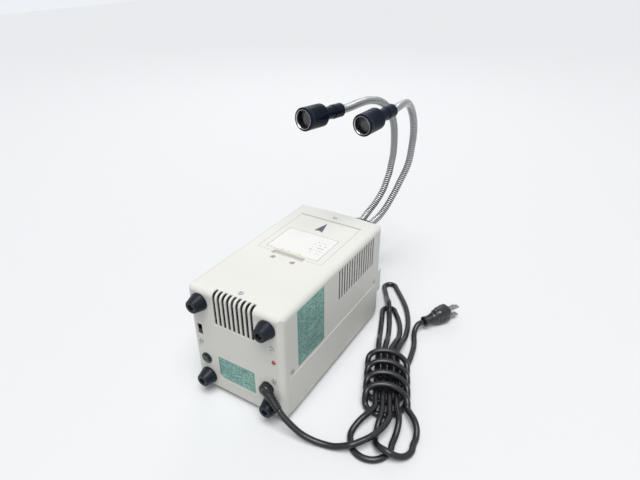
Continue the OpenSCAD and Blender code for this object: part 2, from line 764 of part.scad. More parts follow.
module socket_screws() {
    color("silver") for (a = socket_screw_as) translate([0, 0, guide_z]) rotate([0, a, 0]) difference() {
        union() {
            rod_y(0, socket_screw_pcr, socket_face_y - socket_flange_t, -end_y + wall, 1.25);
            rod_y(0, socket_screw_pcr, socket_face_y - socket_flange_t - 1.4, socket_face_y - socket_flange_t, 2.1);
        }
        for (b = [0, 90]) translate([0, 0, socket_screw_pcr]) rotate([0, b, 0])
            block([-1.5, socket_face_y - socket_flange_t - 2, -0.3], [1.5, socket_face_y - socket_flange_t - 0.7, 0.3]);
    }
}

module clamp_screw() {
    tip = ferrule_d / 2 + slit;
    head = socket_hub_d / 2 + 2;
    color([0.80, 0.80, 0.82]) difference() {
        union() {
            rod_x(clamp_y, guide_z, tip, head + 1, 2);
            rod_x(clamp_y, guide_z, head, head + 9, 5.5);
            rod_x(clamp_y, guide_z, head - 1, head + 1, 3.4);
        }
        for (i = [0 : 17]) translate([head + 1, clamp_y, guide_z]) rotate([i * 20, 0, 0])
            translate([0, 5.7, 0]) rotate([0, 90, 0]) cylinder(h = 7, r = 0.55);
    }
}

module intensity_knob() {
    y1 = band_y - 0.8;
    y0 = y1 - knob_l;
    r = knob_d / 2;
    color([0.93, 0.91, 0.84]) difference() {
        union() {
            rod_y(knob_x, band_z, y1 - 3.5, y1, r);
            intersection() {
                translate([knob_x, y1, band_z]) rotate([90, 0, 0]) linear_extrude(knob_l) difference() {
                    circle(r - 1.2);
                    for (i = [0 : 23]) rotate(i * 15) translate([r - 1, 0]) circle(1);
                }
                translate([knob_x, y1, band_z]) rotate([90, 0, 0]) rotate_extrude()
                    polygon([[0, 0], [r, 0], [r, knob_l - 3.5], [r - 3, knob_l], [0, knob_l]]);
            }
        }
        // room for the nut, and the bore for the flatted shaft
        rod_y(knob_x, band_z, y1 - 4.5, y1 + 1, 7.5);
        intersection() {
            rod_y(knob_x, band_z, y1 - 13, y1 + 1, 3 + run);
            block([knob_x - 5, y1 - 14, band_z - 4], [knob_x + 1.8 + run, y1 + 2, band_z + 4]);
        }
        // pointer groove
        block([knob_x - 0.5, y0 - 1, band_z + 3], [knob_x + 0.5, y0 + 0.7, band_z + r]);
    }
}

module dial_shaft() {
    y1 = band_y - 0.8;
    color("silver") difference() {
        rod_y(knob_x, band_z, y1 - 12.6, band_y + wall + 8, 3);
        block([knob_x + 1.8, y1 - 14, band_z - 4], [knob_x + 5, y1 - 4.2, band_z + 4]);
    }
}

module potentiometer() {
    y0 = band_y + wall;
    color([0.62, 0.63, 0.60]) difference() {
        union() {
            rod_y(knob_x, band_z, y0, y0 + 11, 11.5);
            rod_y(knob_x, band_z, band_y - 3.6, y0 + 1, bush_r);
            block([knob_x - 6, y0 + 2, band_z - 13.5], [knob_x + 6, y0 + 3.2, band_z]);
        }
        rod_y(knob_x, band_z, band_y - 5, y0 + 9, 3 + run);
    }
    color("silver") difference() {
        translate([knob_x, band_y, band_z]) rotate([90, 0, 0]) linear_extrude(2.2)
            polygon([for (i = [0 : 5]) [6.4 * cos(60 * i), 6.4 * sin(60 * i)]]);
        rod_y(knob_x, band_z, band_y - 3, band_y + 1, bush_r + run);
    }
}

module rocker_frame() {
    color([0.06, 0.06, 0.07]) difference() {
        union() {
            block([rocker_x - 8, band_y - 1.5, band_z - 12], [rocker_x + 8, band_y, band_z + 12]);
            block([rocker_x - rocker_w / 2, band_y - 1, band_z - rocker_h / 2],
                [rocker_x + rocker_w / 2, band_y + 18, band_z + rocker_h / 2]);
            for (z = [-6, 0, 6]) block([rocker_x - 2.4, band_y + 17, band_z + z - 0.4], [rocker_x + 2.4, band_y + 25, band_z + z + 0.4]);
        }
        block([rocker_x - 5.2, band_y - 2, band_z - 9], [rocker_x + 5.2, band_y + 7, band_z + 9]);
        rod_x(pivot_y, band_z, rocker_x - 6, rocker_x + 6, 1 + run);
    }
}

module power_rocker() {
    outline = [[-4, -8], [-2.4, 0], [-4, 8], [0.8, 7.2], [2.2, 3], [2.2, -3], [0.8, -7.2]];
    color([0.09, 0.09, 0.10]) translate([rocker_x, pivot_y, band_z]) rotate([-8, 0, 0]) {
        along_x(-4.8, 4.8) polygon(outline);
        rod_x(0, 0, -5.8, 5.8, 1);
    }
}

module pilot_lamp() {
    color([0.25, 0.70, 0.30]) {
        rod_y(pilot_x, band_z, band_y - 0.5, band_y + 14, pilot_r);
        rod_y(pilot_x, band_z, band_y - 1, band_y, pilot_r + 1);
        translate([pilot_x, band_y - 0.5, band_z]) rotate([90, 0, 0]) rotate_extrude() intersection() {
            translate([0, -1.4]) circle(3.8);
            square([3.2, 4]);
        }
    }
}

// ---------------------------------------------------------------- light guide

module guide_ferrule() {
    color([0.80, 0.81, 0.83]) difference() {
        union() {
            rod_y(0, guide_z, collar_y, ferrule_y1, ferrule_d / 2);
            rod_y(0, guide_z, collar_y - collar_l, collar_y, 11);
        }
        rod_y(0, guide_z, ferrule_y1 - 3, ferrule_y1 + 1, 5);
    }
}

// polished ends of the fibre bundle: one in the ferrule and one in each head
module fibre_faces() {
    color([0.85, 0.90, 0.92]) {
        rod_y(0, guide_z, ferrule_y1 - 3, ferrule_y1 - 0.2, 4.9);
        for (h = heads) at_head(h) translate([0, 0, 49]) cylinder(h = 2.8, r = 3.4);
    }
}

module guide_branch() {
    y1 = collar_y - collar_l;
    mid = (y1 + branch_y0) / 2;
    color([0.08, 0.09, 0.12]) difference() {
        union() {
            intersection() {
                along_y(branch_y0, y1) translate([0, guide_z]) {
                    translate([-neck_gap / 2, -9.5]) square([neck_gap, 19]);
                    for (s = [-1, 1]) translate([s * neck_gap / 2, 0]) circle(9.5);
                }
                translate([0, y1, guide_z]) rotate([90, 0, 0]) rotate_extrude()
                    polygon([[0, 0], [11.5, 0], [12.5, 1], [12.5, 6], [19, 16], [19, y1 - branch_y0 - 4],
                        [16.5, y1 - branch_y0], [0, y1 - branch_y0]]);
            }
            rod_y(0, guide_z, y1 - 7, y1, 12.5);
            for (s = [-1, 1]) rod_y(s * neck_gap / 2, guide_z, branch_y0 - 4, branch_y0 + 1, neck_d / 2 + 1.4);
        }
        for (s = [-1, 1]) rod_y(s * neck_gap / 2, guide_z, branch_y0 - 5, branch_y0 + neck_root, neck_d / 2 + fit);
    }
}

neck_root = 6;
function neck_start(s) = [for (d = [5.5, 0, -7]) [s * neck_gap / 2, branch_y0 + d, guide_z]];
neck_a_route = concat(neck_start(1), [[8.4, -201, 95.5], [8, -217, 100], [4, -229, 109], [-1, -238, 122], [-4, -244, 133], [-6, -248, 145], [-8, -251.5, 157], [-9, -253, 169], [-11, -254, 187],
    [-12, -252, 205], [-13.5, -246, 223], [-15, -237, 240], [-16.5, -220, 260], [-17, -200, 274],
    [-14.5, -182, 283], [-11, -163, 287.5], [-8, -144, 288.3], [-5.5, -126, 287.6]]);
neck_b_route = concat(neck_start(-1), [[-9, -202, 95.3], [-11, -217, 98], [-15, -231, 108],
    [-20, -242, 124], [-23, -247, 134], [-26, -251, 145], [-30, -255, 158], [-34, -257, 172], [-36.5, -257.5, 186],
    [-38, -256.5, 200], [-40, -254, 217], [-42, -248, 233], [-44, -237, 250.5], [-45.5, -222, 267],
    [-47, -206, 278], [-48.8, -189, 283], [-50, -172, 284]]);
heads = [[[-2, -105, 288], [11, 65, 3]], [[-49, -151, 283], [8, 65, -3]]];
head_neck_l = 42;
head_entry = 10;
stem_step = 0.8;        // the barrel's stem is thinner than the neck's collar by this much

// head frame: z runs from the neck's end to the lens
module at_head(h) {
    d = h[1] / norm(h[1]);
    translate(h[0]) rotate([0, 0, atan2(d[1], d[0])]) rotate([0, acos(d[2]), 0]) children();
}

function head_point(h, s) = h[0] + s * h[1] / norm(h[1]);

module head_body(h) {
    r = head_neck_d / 2;
    stem_r = r - stem_step;
    bore = barrel_d / 2 - 2.75;
    color([0.05, 0.06, 0.10]) at_head(h) difference() {
        union() {
            rotate_extrude() polygon([[0, 0], [r - 1.2, 0], [r, 1.2], [r, 16], [stem_r, 18],
                [stem_r, head_neck_l + 1], [0, head_neck_l + 1]]);
            translate([0, 0, head_neck_l]) cylinder(h = 10, r = bore - run);
        }
        translate([0, 0, -1]) cylinder(h = head_entry + 1, r = neck_d / 2 + fit);
        translate([0, 0, 49]) cylinder(h = 4, r = 3.5);
    }
}

module head_barrel(h) {
    r = barrel_d / 2;
    s0 = 66 - barrel_l;
    neck_hole = head_neck_d / 2 - stem_step + run;
    color([0.06, 0.07, 0.12]) at_head(h) difference() {
        rotate_extrude() {
            polygon([[0, s0], [r - 3.7, s0], [r, s0 + 5.5], [r, 65.4], [r - 0.6, 66], [0, 66]]);
        }
        translate([0, 0, s0 - 1]) cylinder(h = 30, r = neck_hole);
        translate([0, 0, s0 + 2.2]) cylinder(h = 56 - s0 - 2.2, r = r - 2.75);
        translate([0, 0, 55]) cylinder(h = 4, r = r - 3.6);
        translate([0, 0, 57.5]) cylinder(h = 10, r = r - 2.2);
        for (i = [0 : 23]) rotate([0, 0, i * 15]) translate([r, 0, s0 + 8]) cylinder(h = 12, r = 0.5);
    }
}

module head_lens(h) {
    r = barrel_d / 2 - 2.25;
    color([0.75, 0.82, 0.86]) at_head(h) translate([0, 0, 57.5]) rotate_extrude() intersection() {
        translate([0, -20.6]) circle(25, $fn = 128);
        square([r, 5]);
    }
}

module head_rim(h) {
    r = barrel_d / 2 - 2.25;
    color([0.75, 0.76, 0.78]) at_head(h) rotate_extrude()
        polygon([[r - 1.2, 60], [r, 60], [r, 66.2], [r - 0.3, 66.2], [r - 1.2, 64.8]]);
}

// ---------------------------------------------------------------- inside

module fan_frame() {
    h = fan_size / 2;
    color([0.10, 0.10, 0.11]) difference() {
        union() {
            difference() {
                along_y(fan_y0, fan_y1) translate([-h, fan_z - h]) square([fan_size, fan_size]);
                rod_y(0, fan_z, fan_y0 - 1, fan_y1 + 1, h - 1.5);
            }
            rod_y(0, fan_z, fan_y1 - 2.4, fan_y1, 12);
            rod_y(0, fan_z, fan_y1 - 9, fan_y1, 3.6);
            for (a = [30, 150, 270]) translate([0, 0, fan_z]) rotate([0, a, 0])
                block([-1.6, fan_y1 - 2.4, 3], [1.6, fan_y1, h - 1]);
        }
        for (x = [-1, 1], z = [-1, 1]) rod_y(x * fan_hole, fan_z + z * fan_hole, fan_y0 - 1, fan_y1 + 1, 2);
        rod_y(0, fan_z, fan_y1 - 10, fan_y1 + 1, 1.5 + run);
    }
}

module fan_rotor() {
    hub = 12;
    y0 = fan_y0 + 1;
    y1 = fan_y1 - 2.8;
    color([0.13, 0.13, 0.14]) {
        difference() {
            rod_y(0, fan_z, y0, y1, hub);
            rod_y(0, fan_z, y0 + 1.6, y1 + 1, hub - 1.4);
        }
        rod_y(0, fan_z, y0 + 0.5, fan_y1 - 1, 1.5);
        intersection() {
            difference() {
                rod_y(0, fan_z, y0 + 0.4, y1 - 0.4, fan_size / 2 - 2.5);
                rod_y(0, fan_z, y0 - 1, y1 + 1, hub - 0.6);
            }
            translate([0, (y0 + y1) / 2, fan_z]) for (i = [0 : 6]) rotate([0, i * 360 / 7, 0])
                rotate([0, 0, 40]) block([-0.7, -11, 8], [0.7, 11, 32]);
        }
    }
}

module transformer_core() {
    z0 = base_z + wall;
    z1 = z0 + core_plate_t;
    color([0.30, 0.30, 0.32]) difference() {
        union() {
            block([-33, core_y - 14, z1 - bite], [33, core_y + 14, z1 + 55]);
            block([-42, core_y - 19, z0], [42, core_y + 19, z1]);
        }
        for (s = [-1, 1]) block([s > 0 ? 11 : -22, core_y - 15, z1 + 11], [s > 0 ? 22 : -11, core_y + 15, z1 + 44]);
        for (x = [-1, 1], y = [-1, 1])
            rod_z(x * core_screw_x, core_y + y * core_screw_y, z0 - 1, z1 + 1, screw_r + run);
    }
}

module transformer_coil() {
    z1 = base_z + wall + core_plate_t;
    color([0.72, 0.45, 0.20]) difference() {
        block([-21.8, core_y - 24, z1 + 11.2], [21.8, core_y + 24, z1 + 43.8]);
        block([-11.2, core_y - 14.2, z1], [11.2, core_y + 14.2, z1 + 55]);
    }
}

module circuit_board() {
    color([0.10, 0.40, 0.22]) difference() {
        block([board_x1 - 1.6, -55, base_z + 9], [board_x1, 25, base_z + 51]);
        for (y = board_post_ys, z = board_post_zs) rod_x(y, z, board_x1 - 3, board_x1 + 1, 1.2);
    }
}

module board_parts() {
    x = board_x1 - 1.6;
    color([0.20, 0.22, 0.28]) {
        rod_x(-38, base_z + 24, x - 18, x, 7);
        block([x - 15, -22, base_z + 16], [x, -2, base_z + 38]);
        difference() {
            block([x - 14, 3, base_z + 18], [x, 14, base_z + 42]);
            for (i = [0 : 3]) block([x - 15, 4.6 + i * 2.6, base_z + 17], [x - 3, 5.8 + i * 2.6, base_z + 43]);
        }
    }
}

module lamp_bracket() {
    y0 = lamp_y - 1.5;
    z0 = base_z + wall;
    color([0.70, 0.71, 0.72]) difference() {
        union() {
            block([-30, y0, z0], [30, lamp_y, guide_z + 29]);
            block([-30, y0, z0], [30, holder_y + 13, z0 + bracket_t]);
            block([-16, holder_y + 11.5, z0], [16, holder_y + 13, guide_z + 14]);
            rod_y(0, guide_z, y0 - 7, y0 + bite, 26);
        }
        rod_y(0, guide_z, y0 - 8, lamp_y + 1, lamp_d / 2 - 3.5);
        rod_y(0, guide_z, y0 - 8, y0 - 1, 23.1);
        for (y = bracket_screw_ys) rod_z(0, y, z0 - 1, z0 + bracket_t + 1, screw_r + run);
        block([-22, y0 - 1, z0 + 12], [22, lamp_y + 1, guide_z - 34]);
    }
}

module heat_filter() {
    color([0.70, 0.88, 0.86]) rod_y(0, guide_z, lamp_y - 5.5, lamp_y - 2.5, 23);
}

lamp_y = -76.5;
holder_y = -38.5;
clamp_y = hub_y + socket_hub_l / 2;
pivot_y = band_y + 2;

// parabola that the reflector follows: radius at a depth behind the rim
function bowl(d) = (lamp_d / 2 - 1.5) * sqrt(max(0, 1 - d / lamp_l));

module halogen_lamp() {
    rings = 10;
    inner = [for (i = [0 : rings - 1]) [bowl(i / rings * (lamp_l - 4)), i / rings * (lamp_l - 4)]];
    outer = [for (i = [rings - 1 : -1 : 0]) [bowl(i / rings * (lamp_l - 4)) + 1.5, i / rings * (lamp_l - 4)]];
    color([0.80, 0.82, 0.85]) {
        translate([0, lamp_y, guide_z]) rotate([-90, 0, 0]) rotate_extrude()
            polygon(concat(inner, [[0, lamp_l - 6], [0, lamp_l - 1], [12, lamp_l - 1]], outer));
        block([-8, lamp_y + lamp_l - 2, guide_z - 6], [8, holder_y - 3, guide_z + 6]);
    }
}

module lamp_capsule() {
    y = lamp_y + lamp_l - 6;
    color([0.90, 0.92, 0.93]) {
        rod_y(0, guide_z, y - 14, y - 0.4, 4.5);
        translate([0, y - 14, guide_z]) sphere(4.5);
        for (s = [-1, 1]) rod_y(s * 3.2, guide_z, holder_y - 3, holder_y + 5, 0.6);
    }
}

module lamp_holder() {
    color([0.88, 0.86, 0.80]) difference() {
        union() {
            rod_y(0, guide_z, holder_y, holder_y + 9, 11);
            rod_y(0, guide_z, holder_y + 8, holder_y + 11.5, 6);
        }
        for (s = [-1, 1]) rod_y(s * 3.2, guide_z, holder_y - 1, holder_y + 6, 0.7);
    }
}

// ---------------------------------------------------------------- swept tubes

function unit(v) = v / norm(v);
function ease(t) = t * t * (3 - 2 * t);
function bend(a, b, c, d, t) = 0.5 * (2 * b + (c - a) * t + (2 * a - 5 * b + 4 * c - d) * t * t
    + (3 * b - a - 3 * c + d) * t * t * t);
function smooth(p, n) = [for (i = [0 : len(p) - 2], k = [0 : n - 1])
    bend(i > 0 ? p[i - 1] : 2 * p[0] - p[1], p[i], p[i + 1],
        i < len(p) - 2 ? p[i + 2] : 2 * p[i + 1] - p[i], k / n), p[len(p) - 1]];
function run_lengths(p) = [for (i = 0, s = 0; i < len(p);
    s = s + (i < len(p) - 1 ? norm(p[i + 1] - p[i]) : 0), i = i + 1) s];
function total_length(p) = let (s = run_lengths(p)) s[len(s) - 1];
// n + 1 points evenly spaced along a polyline
function spaced(p, n) = let (s = run_lengths(p), l = s[len(s) - 1],
    t = [for (c = [0 : 2]) [for (i = [0 : len(p) - 1]) [s[i], p[i][c]]]])
    [for (k = [0 : n]) [for (c = [0 : 2]) lookup(l * k / n, t[c])]];
function tangents(p) = [for (i = [0 : len(p) - 1]) unit(p[min(i + 1, len(p) - 1)] - p[max(i - 1, 0)])];
function carried(n, t) = unit(n - (n * t) * t);
function normals(t) = [for (i = 0, n = carried([0.31, 0.17, 0.93], t[0]); i < len(t);
    i = i + 1, n = i < len(t) ? carried(n, t[i]) : n) n];
function ring(p, t, n, r, sides) = [for (j = [0 : sides - 1])
    p + r * (cos(360 * j / sides) * n + sin(360 * j / sides) * cross(t, n))];
function mesh_bands(rings, sides, closed) = [for (i = [0 : rings - (closed ? 1 : 2)], j = [0 : sides - 1])
    let (a = i * sides, b = ((i + 1) % rings) * sides, k = (j + 1) % sides)
    for (f = [[a + j, b + j, b + k], [a + j, b + k, a + k]]) f];
function cap_fan(first, sides, flip) = [for (j = [1 : sides - 2])
    flip ? [first, first + j + 1, first + j] : [first, first + j, first + j + 1]];

// solid tube through the given points
module tube(points, r, sides) {
    t = tangents(points);
    n = normals(t);
    count = len(points);
    verts = [for (i = [0 : count - 1]) each ring(points[i], t[i], n[i], r, sides)];
    faces = concat(cap_fan(0, sides, false), mesh_bands(count, sides, false),
        cap_fan((count - 1) * sides, sides, true));
    polyhedron(verts, faces);
}

// hollow ribbed hose: out along the ribs, back along the bore
module ribbed_hose(route, ribs, r_crest, r_valley, r_bore, sides, plain) {
    fine = spaced(smooth(route, 8), 2 * ribs + 1);
    t = tangents(fine);
    n = normals(t);
    last = 2 * ribs + 1;
    back = [for (i = [last : -6 : 0]) i];
    bore = back[len(back) - 1] == 0 ? back : concat(back, [0]);
    step = total_length(fine) / last;
    verts = concat(
        [for (i = [0 : last]) each ring(fine[i], t[i], n[i],
            min(i, last - i) * step < plain || i % 2 == 0 ? r_crest : r_valley, sides)],
        [for (i = bore) each ring(fine[i], t[i], n[i], r_bore, sides)]);
    faces = mesh_bands(last + 1 + len(bore), sides, true);
    polyhedron(verts, faces);
}

neck_a_path = concat(neck_a_route, [for (d = [-9, 0, head_entry - 1]) head_point(heads[0], d)]);
neck_b_path = concat(neck_b_route, [for (d = [-9, 0, head_entry - 1]) head_point(heads[1], d)]);

module gooseneck_a() {
    color([0.74, 0.75, 0.77]) ribbed_hose(neck_a_path, neck_ribs, neck_d / 2, neck_d / 2 - 0.6, neck_bore / 2, 8, 12);
}

module gooseneck_b() {
    color([0.74, 0.75, 0.77]) ribbed_hose(neck_b_path, neck_ribs, neck_d / 2, neck_d / 2 - 0.6, neck_bore / 2, 8, 12);
}

// ---------------------------------------------------------------- mains lead

// the hank lies on the bench: u runs along it away from the rear, v to its right, w up
hank_at = [-131, 2];
hank_turn = -66.6;
function in_hank(p) = [hank_at[0] + p[0] * cos(hank_turn) + p[1] * sin(hank_turn),
    hank_at[1] + p[0] * sin(hank_turn) - p[1] * cos(hank_turn), p[2]];

cord_r = cord_d / 2;
lie_z = cord_r + 0.1;
lane_z = 3 * cord_r + 1.1;
lane_v = 8;             // distance between strands at the waist
waist_u = 47;           // half length of the waist
wrap_turns = 3.75;
wrap_v = 24;
wrap_pitch = 19;
wrap_lean = 20;
wrap_u0 = -46;
lanes = [for (i = [-1.5 : 1 : 1.5]) i * lane_v];

// height of a strand at a distance beyond the waist
function drop_z(d) = lie_z + (lane_z - lie_z) * (1 - ease(max(0, min(1, (d - 12) / 26))));
// rise where a strand passes over another one, round the place [u, v]
function hump(u, v, at) = at[2] * exp(-(pow(u - at[0], 2) + pow(v - at[1], 2)) / 260);
// one lobe: out from lane a, round a bow of radius r centred on c, and back to lane b
function lobe(a, b, l, r, c, belly, side, over) =
    let (flat = l - r, n = max(6, round(flat / 10)),
        out = [for (i = [0 : n - 1]) let (t = i / n)
            [flat * t, a + (c + sign(a - b) * r - a) * ease(t) + sign(a - b) * belly[0] * sin(180 * t)]],
        bow = [for (i = [0 : 8]) let (g = 22.5 * i)
            [flat + r * sin(g), c + sign(a - b) * r * cos(g)]],
        back = [for (i = [n - 1 : -1 : 0]) let (t = i / n)
            [flat * t, b + (c - sign(a - b) * r - b) * ease(t) - sign(a - b) * belly[1] * sin(180 * t)]])
    [for (p = concat(out, bow, back)) let (u = side * (waist_u + p[0]))
        [u, p[1], max(drop_z(p[0]), drop_z(p[0]) + hump(u, p[1], over))]];
function lane(v, up) = [for (i = [-2 : 2]) [(up ? 1 : -1) * i * 20, v, lane_z]];
function wrap_height(s) = lane_z + (lane_z - lie_z) * sign(s) * pow(abs(s), 0.3);
function wrap() = [for (i = [0 : 24 * wrap_turns]) let (g = 15 * i)
    [wrap_u0 + wrap_pitch * g / 360 + wrap_lean * sin(g), wrap_v * cos(g), wrap_height(sin(g))]];
wrap_end = [wrap_u0 + wrap_pitch * wrap_turns - wrap_lean, 0, lie_z];

hank_route = concat(
    lane(lanes[2], true),
    lobe(lanes[2], lanes[0], 98, 9, 0, [9, 0], 1, [0, 0, 0]),
    lane(lanes[0], false),
    lobe(lanes[0], lanes[3], 64, 22, -14, [4, 4], -1, [0, 0, 0]),
    lane(lanes[3], true),
    lobe(lanes[3], lanes[1], 158, 9, 1, [16, -7], 1, [145, 0, 9]),
    lane(lanes[1], false),
    lobe(lanes[1], wrap_v, 60, 20, 10, [0, 6], -1, [-106, 0, 9]),
    wrap(), [wrap_end + [0.4, 4, 0]]);
hank_points = [for (p = hank_route) in_hank(p)];

cord_exit = sleeve_at + sleeve_l * sleeve_dir;
lead_route = concat([cord_exit, cord_exit + 8 * sleeve_dir],
    [[-76, 125, 18.4], [-88, 124, 11], [-100, 121.5, 6.4], [-111, 118.5, 4.2], [-122, 116, 4.8], [-131, 113, 7.6]],
    [for (p = [[-102, -35, 11.4], [-99, -28, 12.2], [-90, -14, 13.4], [-76, -2, 14], [-62, 3.8, 12.6],
        [-52, 4, lane_z], [-40, 4, lane_z]]) in_hank(p)]);

plug_at = [-131, -115.5, 12.6];
plug_turn = -118;
plug_dir = [cos(plug_turn), sin(plug_turn), 0];
tail_route = concat([for (p = [[5.65, 4, 3.6], [6.35, 11, 3.6], [10, 16.2, 3.6], [17.5, 20.4, 3.6], [28, 24, 3.6],
        [40, 28, 3.6], [52, 31, 3.6], [64, 33.5, 3.6], [76, 34.5, 3.6]]) in_hank(p)],
    [[-128.6, -90.2, 4.6], [-125.9, -99, 7.6], plug_at - 9 * plug_dir, plug_at]);

lead_points = spaced(smooth(lead_route, 8), 44);
tail_points = spaced(smooth(tail_route, 8), 34);

module mains_cord() {
    color([0.05, 0.05, 0.06]) tube(lead_points, cord_r, 8);
}

module cord_hank() {
    color([0.05, 0.05, 0.06]) tube(hank_points, cord_r, 6);
}

module cord_tail() {
    color([0.05, 0.05, 0.06]) tube(tail_points, cord_r, 8);
}

// least distance between the skins of strands that are further apart along the route than they are thick
function halves(p) = [for (i = [0 : len(p) - 2]) each [p[i], (p[i] + p[i + 1]) / 2]];
function least_gap(p) = let (s = run_lengths(p)) min([for (i = [0 : len(p) - 1], j = [i + 1 : len(p) - 1])
    if (s[j] - s[i] > 3.2 * cord_d) norm(p[i] - p[j])]) - cord_d;
function gap_between(p, q) = min([for (a = p, b = q) norm(a - b)]) - cord_d;

// moulded plug, lying beside the lead's end
plug_l = 27;
plug_neck_l = 15;

module at_plug() {
    translate(plug_at) rotate([0, 0, plug_turn]) rotate([0, 90, 0]) rotate([0, 0, 180]) children();
}

module plug_body() {
    z0 = plug_neck_l;
    z1 = plug_neck_l + plug_l;
    color([0.05, 0.05, 0.06]) at_plug() difference() {
        union() {
            cylinder(h = plug_neck_l + 2, r1 = 5.2, r2 = 7.4);
            intersection() {
                translate([0, 0, z0]) linear_extrude(plug_l) intersection() {
                    square([25, 20.6], center = true);
                    circle(13.6);
                }
                translate([0, 0, z0]) rotate_extrude()
                    polygon([[0, 0], [8, 0], [12.6, 6], [12.6, 9], [11.6, 10.5], [11.6, 20], [14, 22.5], [14, plug_l], [0, plug_l]]);
            }
        }
        for (i = [0 : 3]) translate([0, 0, 2.4 + i * 3.2]) difference() {
            cylinder(h = 1.4, r = 10);
            translate([0, 0, -1]) cylinder(h = 4, r = 4.6);
        }
        for (s = [-1, 1]) translate([s * 6.35 - 0.75 - run, -run, z1 - 6]) cube([1.5 + 2 * run, 6.3 + 2 * run, 8]);
        translate([0, -5.6, z1 - 6]) cylinder(h = 8, r = 2.4 + run);
    }
}

module plug_blades() {
    color([0.83, 0.77, 0.58]) at_plug() for (s = [-1, 1])
        translate([s * 6.35 - 0.75, 0, plug_neck_l + plug_l - 6]) cube([1.5, 6.3, 23]);
}

module plug_earth_pin() {
    color([0.83, 0.77, 0.58]) at_plug() translate([0, -5.6, plug_neck_l + plug_l - 6]) {
        cylinder(h = 24, r = 2.4);
        translate([0, 0, 24]) sphere(2.4);
    }
}

// ---------------------------------------------------------------- drawing

bush_r = 4.5;
rocker_w = 13;
rocker_h = 21;
pilot_r = 3.5;
socket_screw_as = [30, 150, 270];
socket_screw_pcr = 17;
board_x1 = 52;
board_post_ys = [-50, 20];
board_post_zs = [base_z + 14, base_z + 46];
vent_start = 2;
core_y = 48;
core_screw_x = 38;
core_screw_y = 14;
core_plate_t = 2;
bracket_t = 1.5;
bracket_screw_ys = [-64, -28];

base_tray();
top_cover();
front_panel();
rear_panel();
lamp_door();
door_hinge_pin();
lamp_chart_plate();
arrow_mark();
side_label();
rear_label();
case_screws();
base_feet();
rear_feet();
rear_foot_screws();
voltage_selector();
selector_slider();
fuse_holder();
fuse_cap();
fuse();
rear_indicator();
cord_gland();
mains_cord();
cord_hank();
cord_tail();
plug_body();
plug_blades();
plug_earth_pin();
guide_socket();
socket_screws();
clamp_screw();
intensity_knob();
dial_shaft();
potentiometer();
rocker_frame();
power_rocker();
pilot_lamp();
guide_ferrule();
fibre_faces();
guide_branch();
gooseneck_a();
gooseneck_b();
head_body(heads[0]);  // head_a_body
head_barrel(heads[0]);  // head_a_barrel
head_lens(heads[0]);  // head_a_lens
head_rim(heads[0]);  // head_a_rim
head_body(heads[1]);  // head_b_body
head_barrel(heads[1]);  // head_b_barrel
head_lens(heads[1]);  // head_b_lens
head_rim(heads[1]);  // head_b_rim
fan_frame();
fan_rotor();
transformer_core();
transformer_coil();
circuit_board();
board_parts();
lamp_bracket();
heat_filter();
halogen_lamp();
lamp_capsule();
lamp_holder();

echo(lead_length = total_length(lead_points), hank_length = total_length(hank_points));
echo(tail_length = total_length(tail_points), hank_gap = least_gap(halves(halves(hank_points))));
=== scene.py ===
# %% [markdown]
# # Fibre optic illuminator: looks over a fixed frame
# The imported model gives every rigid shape. This script puts a camera where the photograph was taken, lays the
# mains lead, draws the goosenecks as wound metal strip, and gives each surface a procedural material.
# All lengths are metres, +Z is up, and the bench is z = 0.

# %% Load the frame
import json
import math

import bpy
import numpy as np
from mathutils import Matrix, Vector


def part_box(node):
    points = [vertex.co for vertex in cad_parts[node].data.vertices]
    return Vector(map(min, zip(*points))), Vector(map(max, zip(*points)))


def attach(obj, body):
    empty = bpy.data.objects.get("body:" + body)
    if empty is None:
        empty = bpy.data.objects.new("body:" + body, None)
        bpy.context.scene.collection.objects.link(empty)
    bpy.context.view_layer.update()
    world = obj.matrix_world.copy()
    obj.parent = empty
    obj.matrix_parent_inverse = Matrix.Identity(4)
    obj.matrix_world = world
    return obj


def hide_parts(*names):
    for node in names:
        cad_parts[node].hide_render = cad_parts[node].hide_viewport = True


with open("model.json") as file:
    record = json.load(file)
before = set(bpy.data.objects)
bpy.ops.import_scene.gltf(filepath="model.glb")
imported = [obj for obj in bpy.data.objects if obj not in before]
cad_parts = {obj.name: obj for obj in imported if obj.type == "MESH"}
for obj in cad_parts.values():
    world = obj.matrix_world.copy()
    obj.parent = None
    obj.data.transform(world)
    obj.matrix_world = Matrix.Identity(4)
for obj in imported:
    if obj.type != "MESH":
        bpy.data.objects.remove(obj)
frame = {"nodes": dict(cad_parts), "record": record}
nodes = frame["nodes"]
scene = bpy.context.scene


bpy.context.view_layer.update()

# %% [markdown]
# ## Camera
# The view was solved from the edges of the lamp house: a lens of 28.7 mm on a 36 mm sensor, behind and above the
# rear left corner, with almost no roll.

# %% Camera
camera_data = bpy.data.cameras.new("view_camera")
camera_data.lens = 28.73
camera_data.sensor_width = 36.0
camera_data.clip_start = 0.01
camera = bpy.data.objects.new("view_camera", camera_data)
camera.location = (-0.29528, 0.42506, 0.45818)
camera.rotation_euler = (1.046986, 0.002122, -2.596252)
scene.collection.objects.link(camera)
scene.camera = camera
print("camera at", tuple(round(c, 3) for c in camera.location))

# %% [markdown]
# ## Curves and surfaces
# Every new piece is a surface: points on a grid of two parameters. One runs along a path, the other round it.


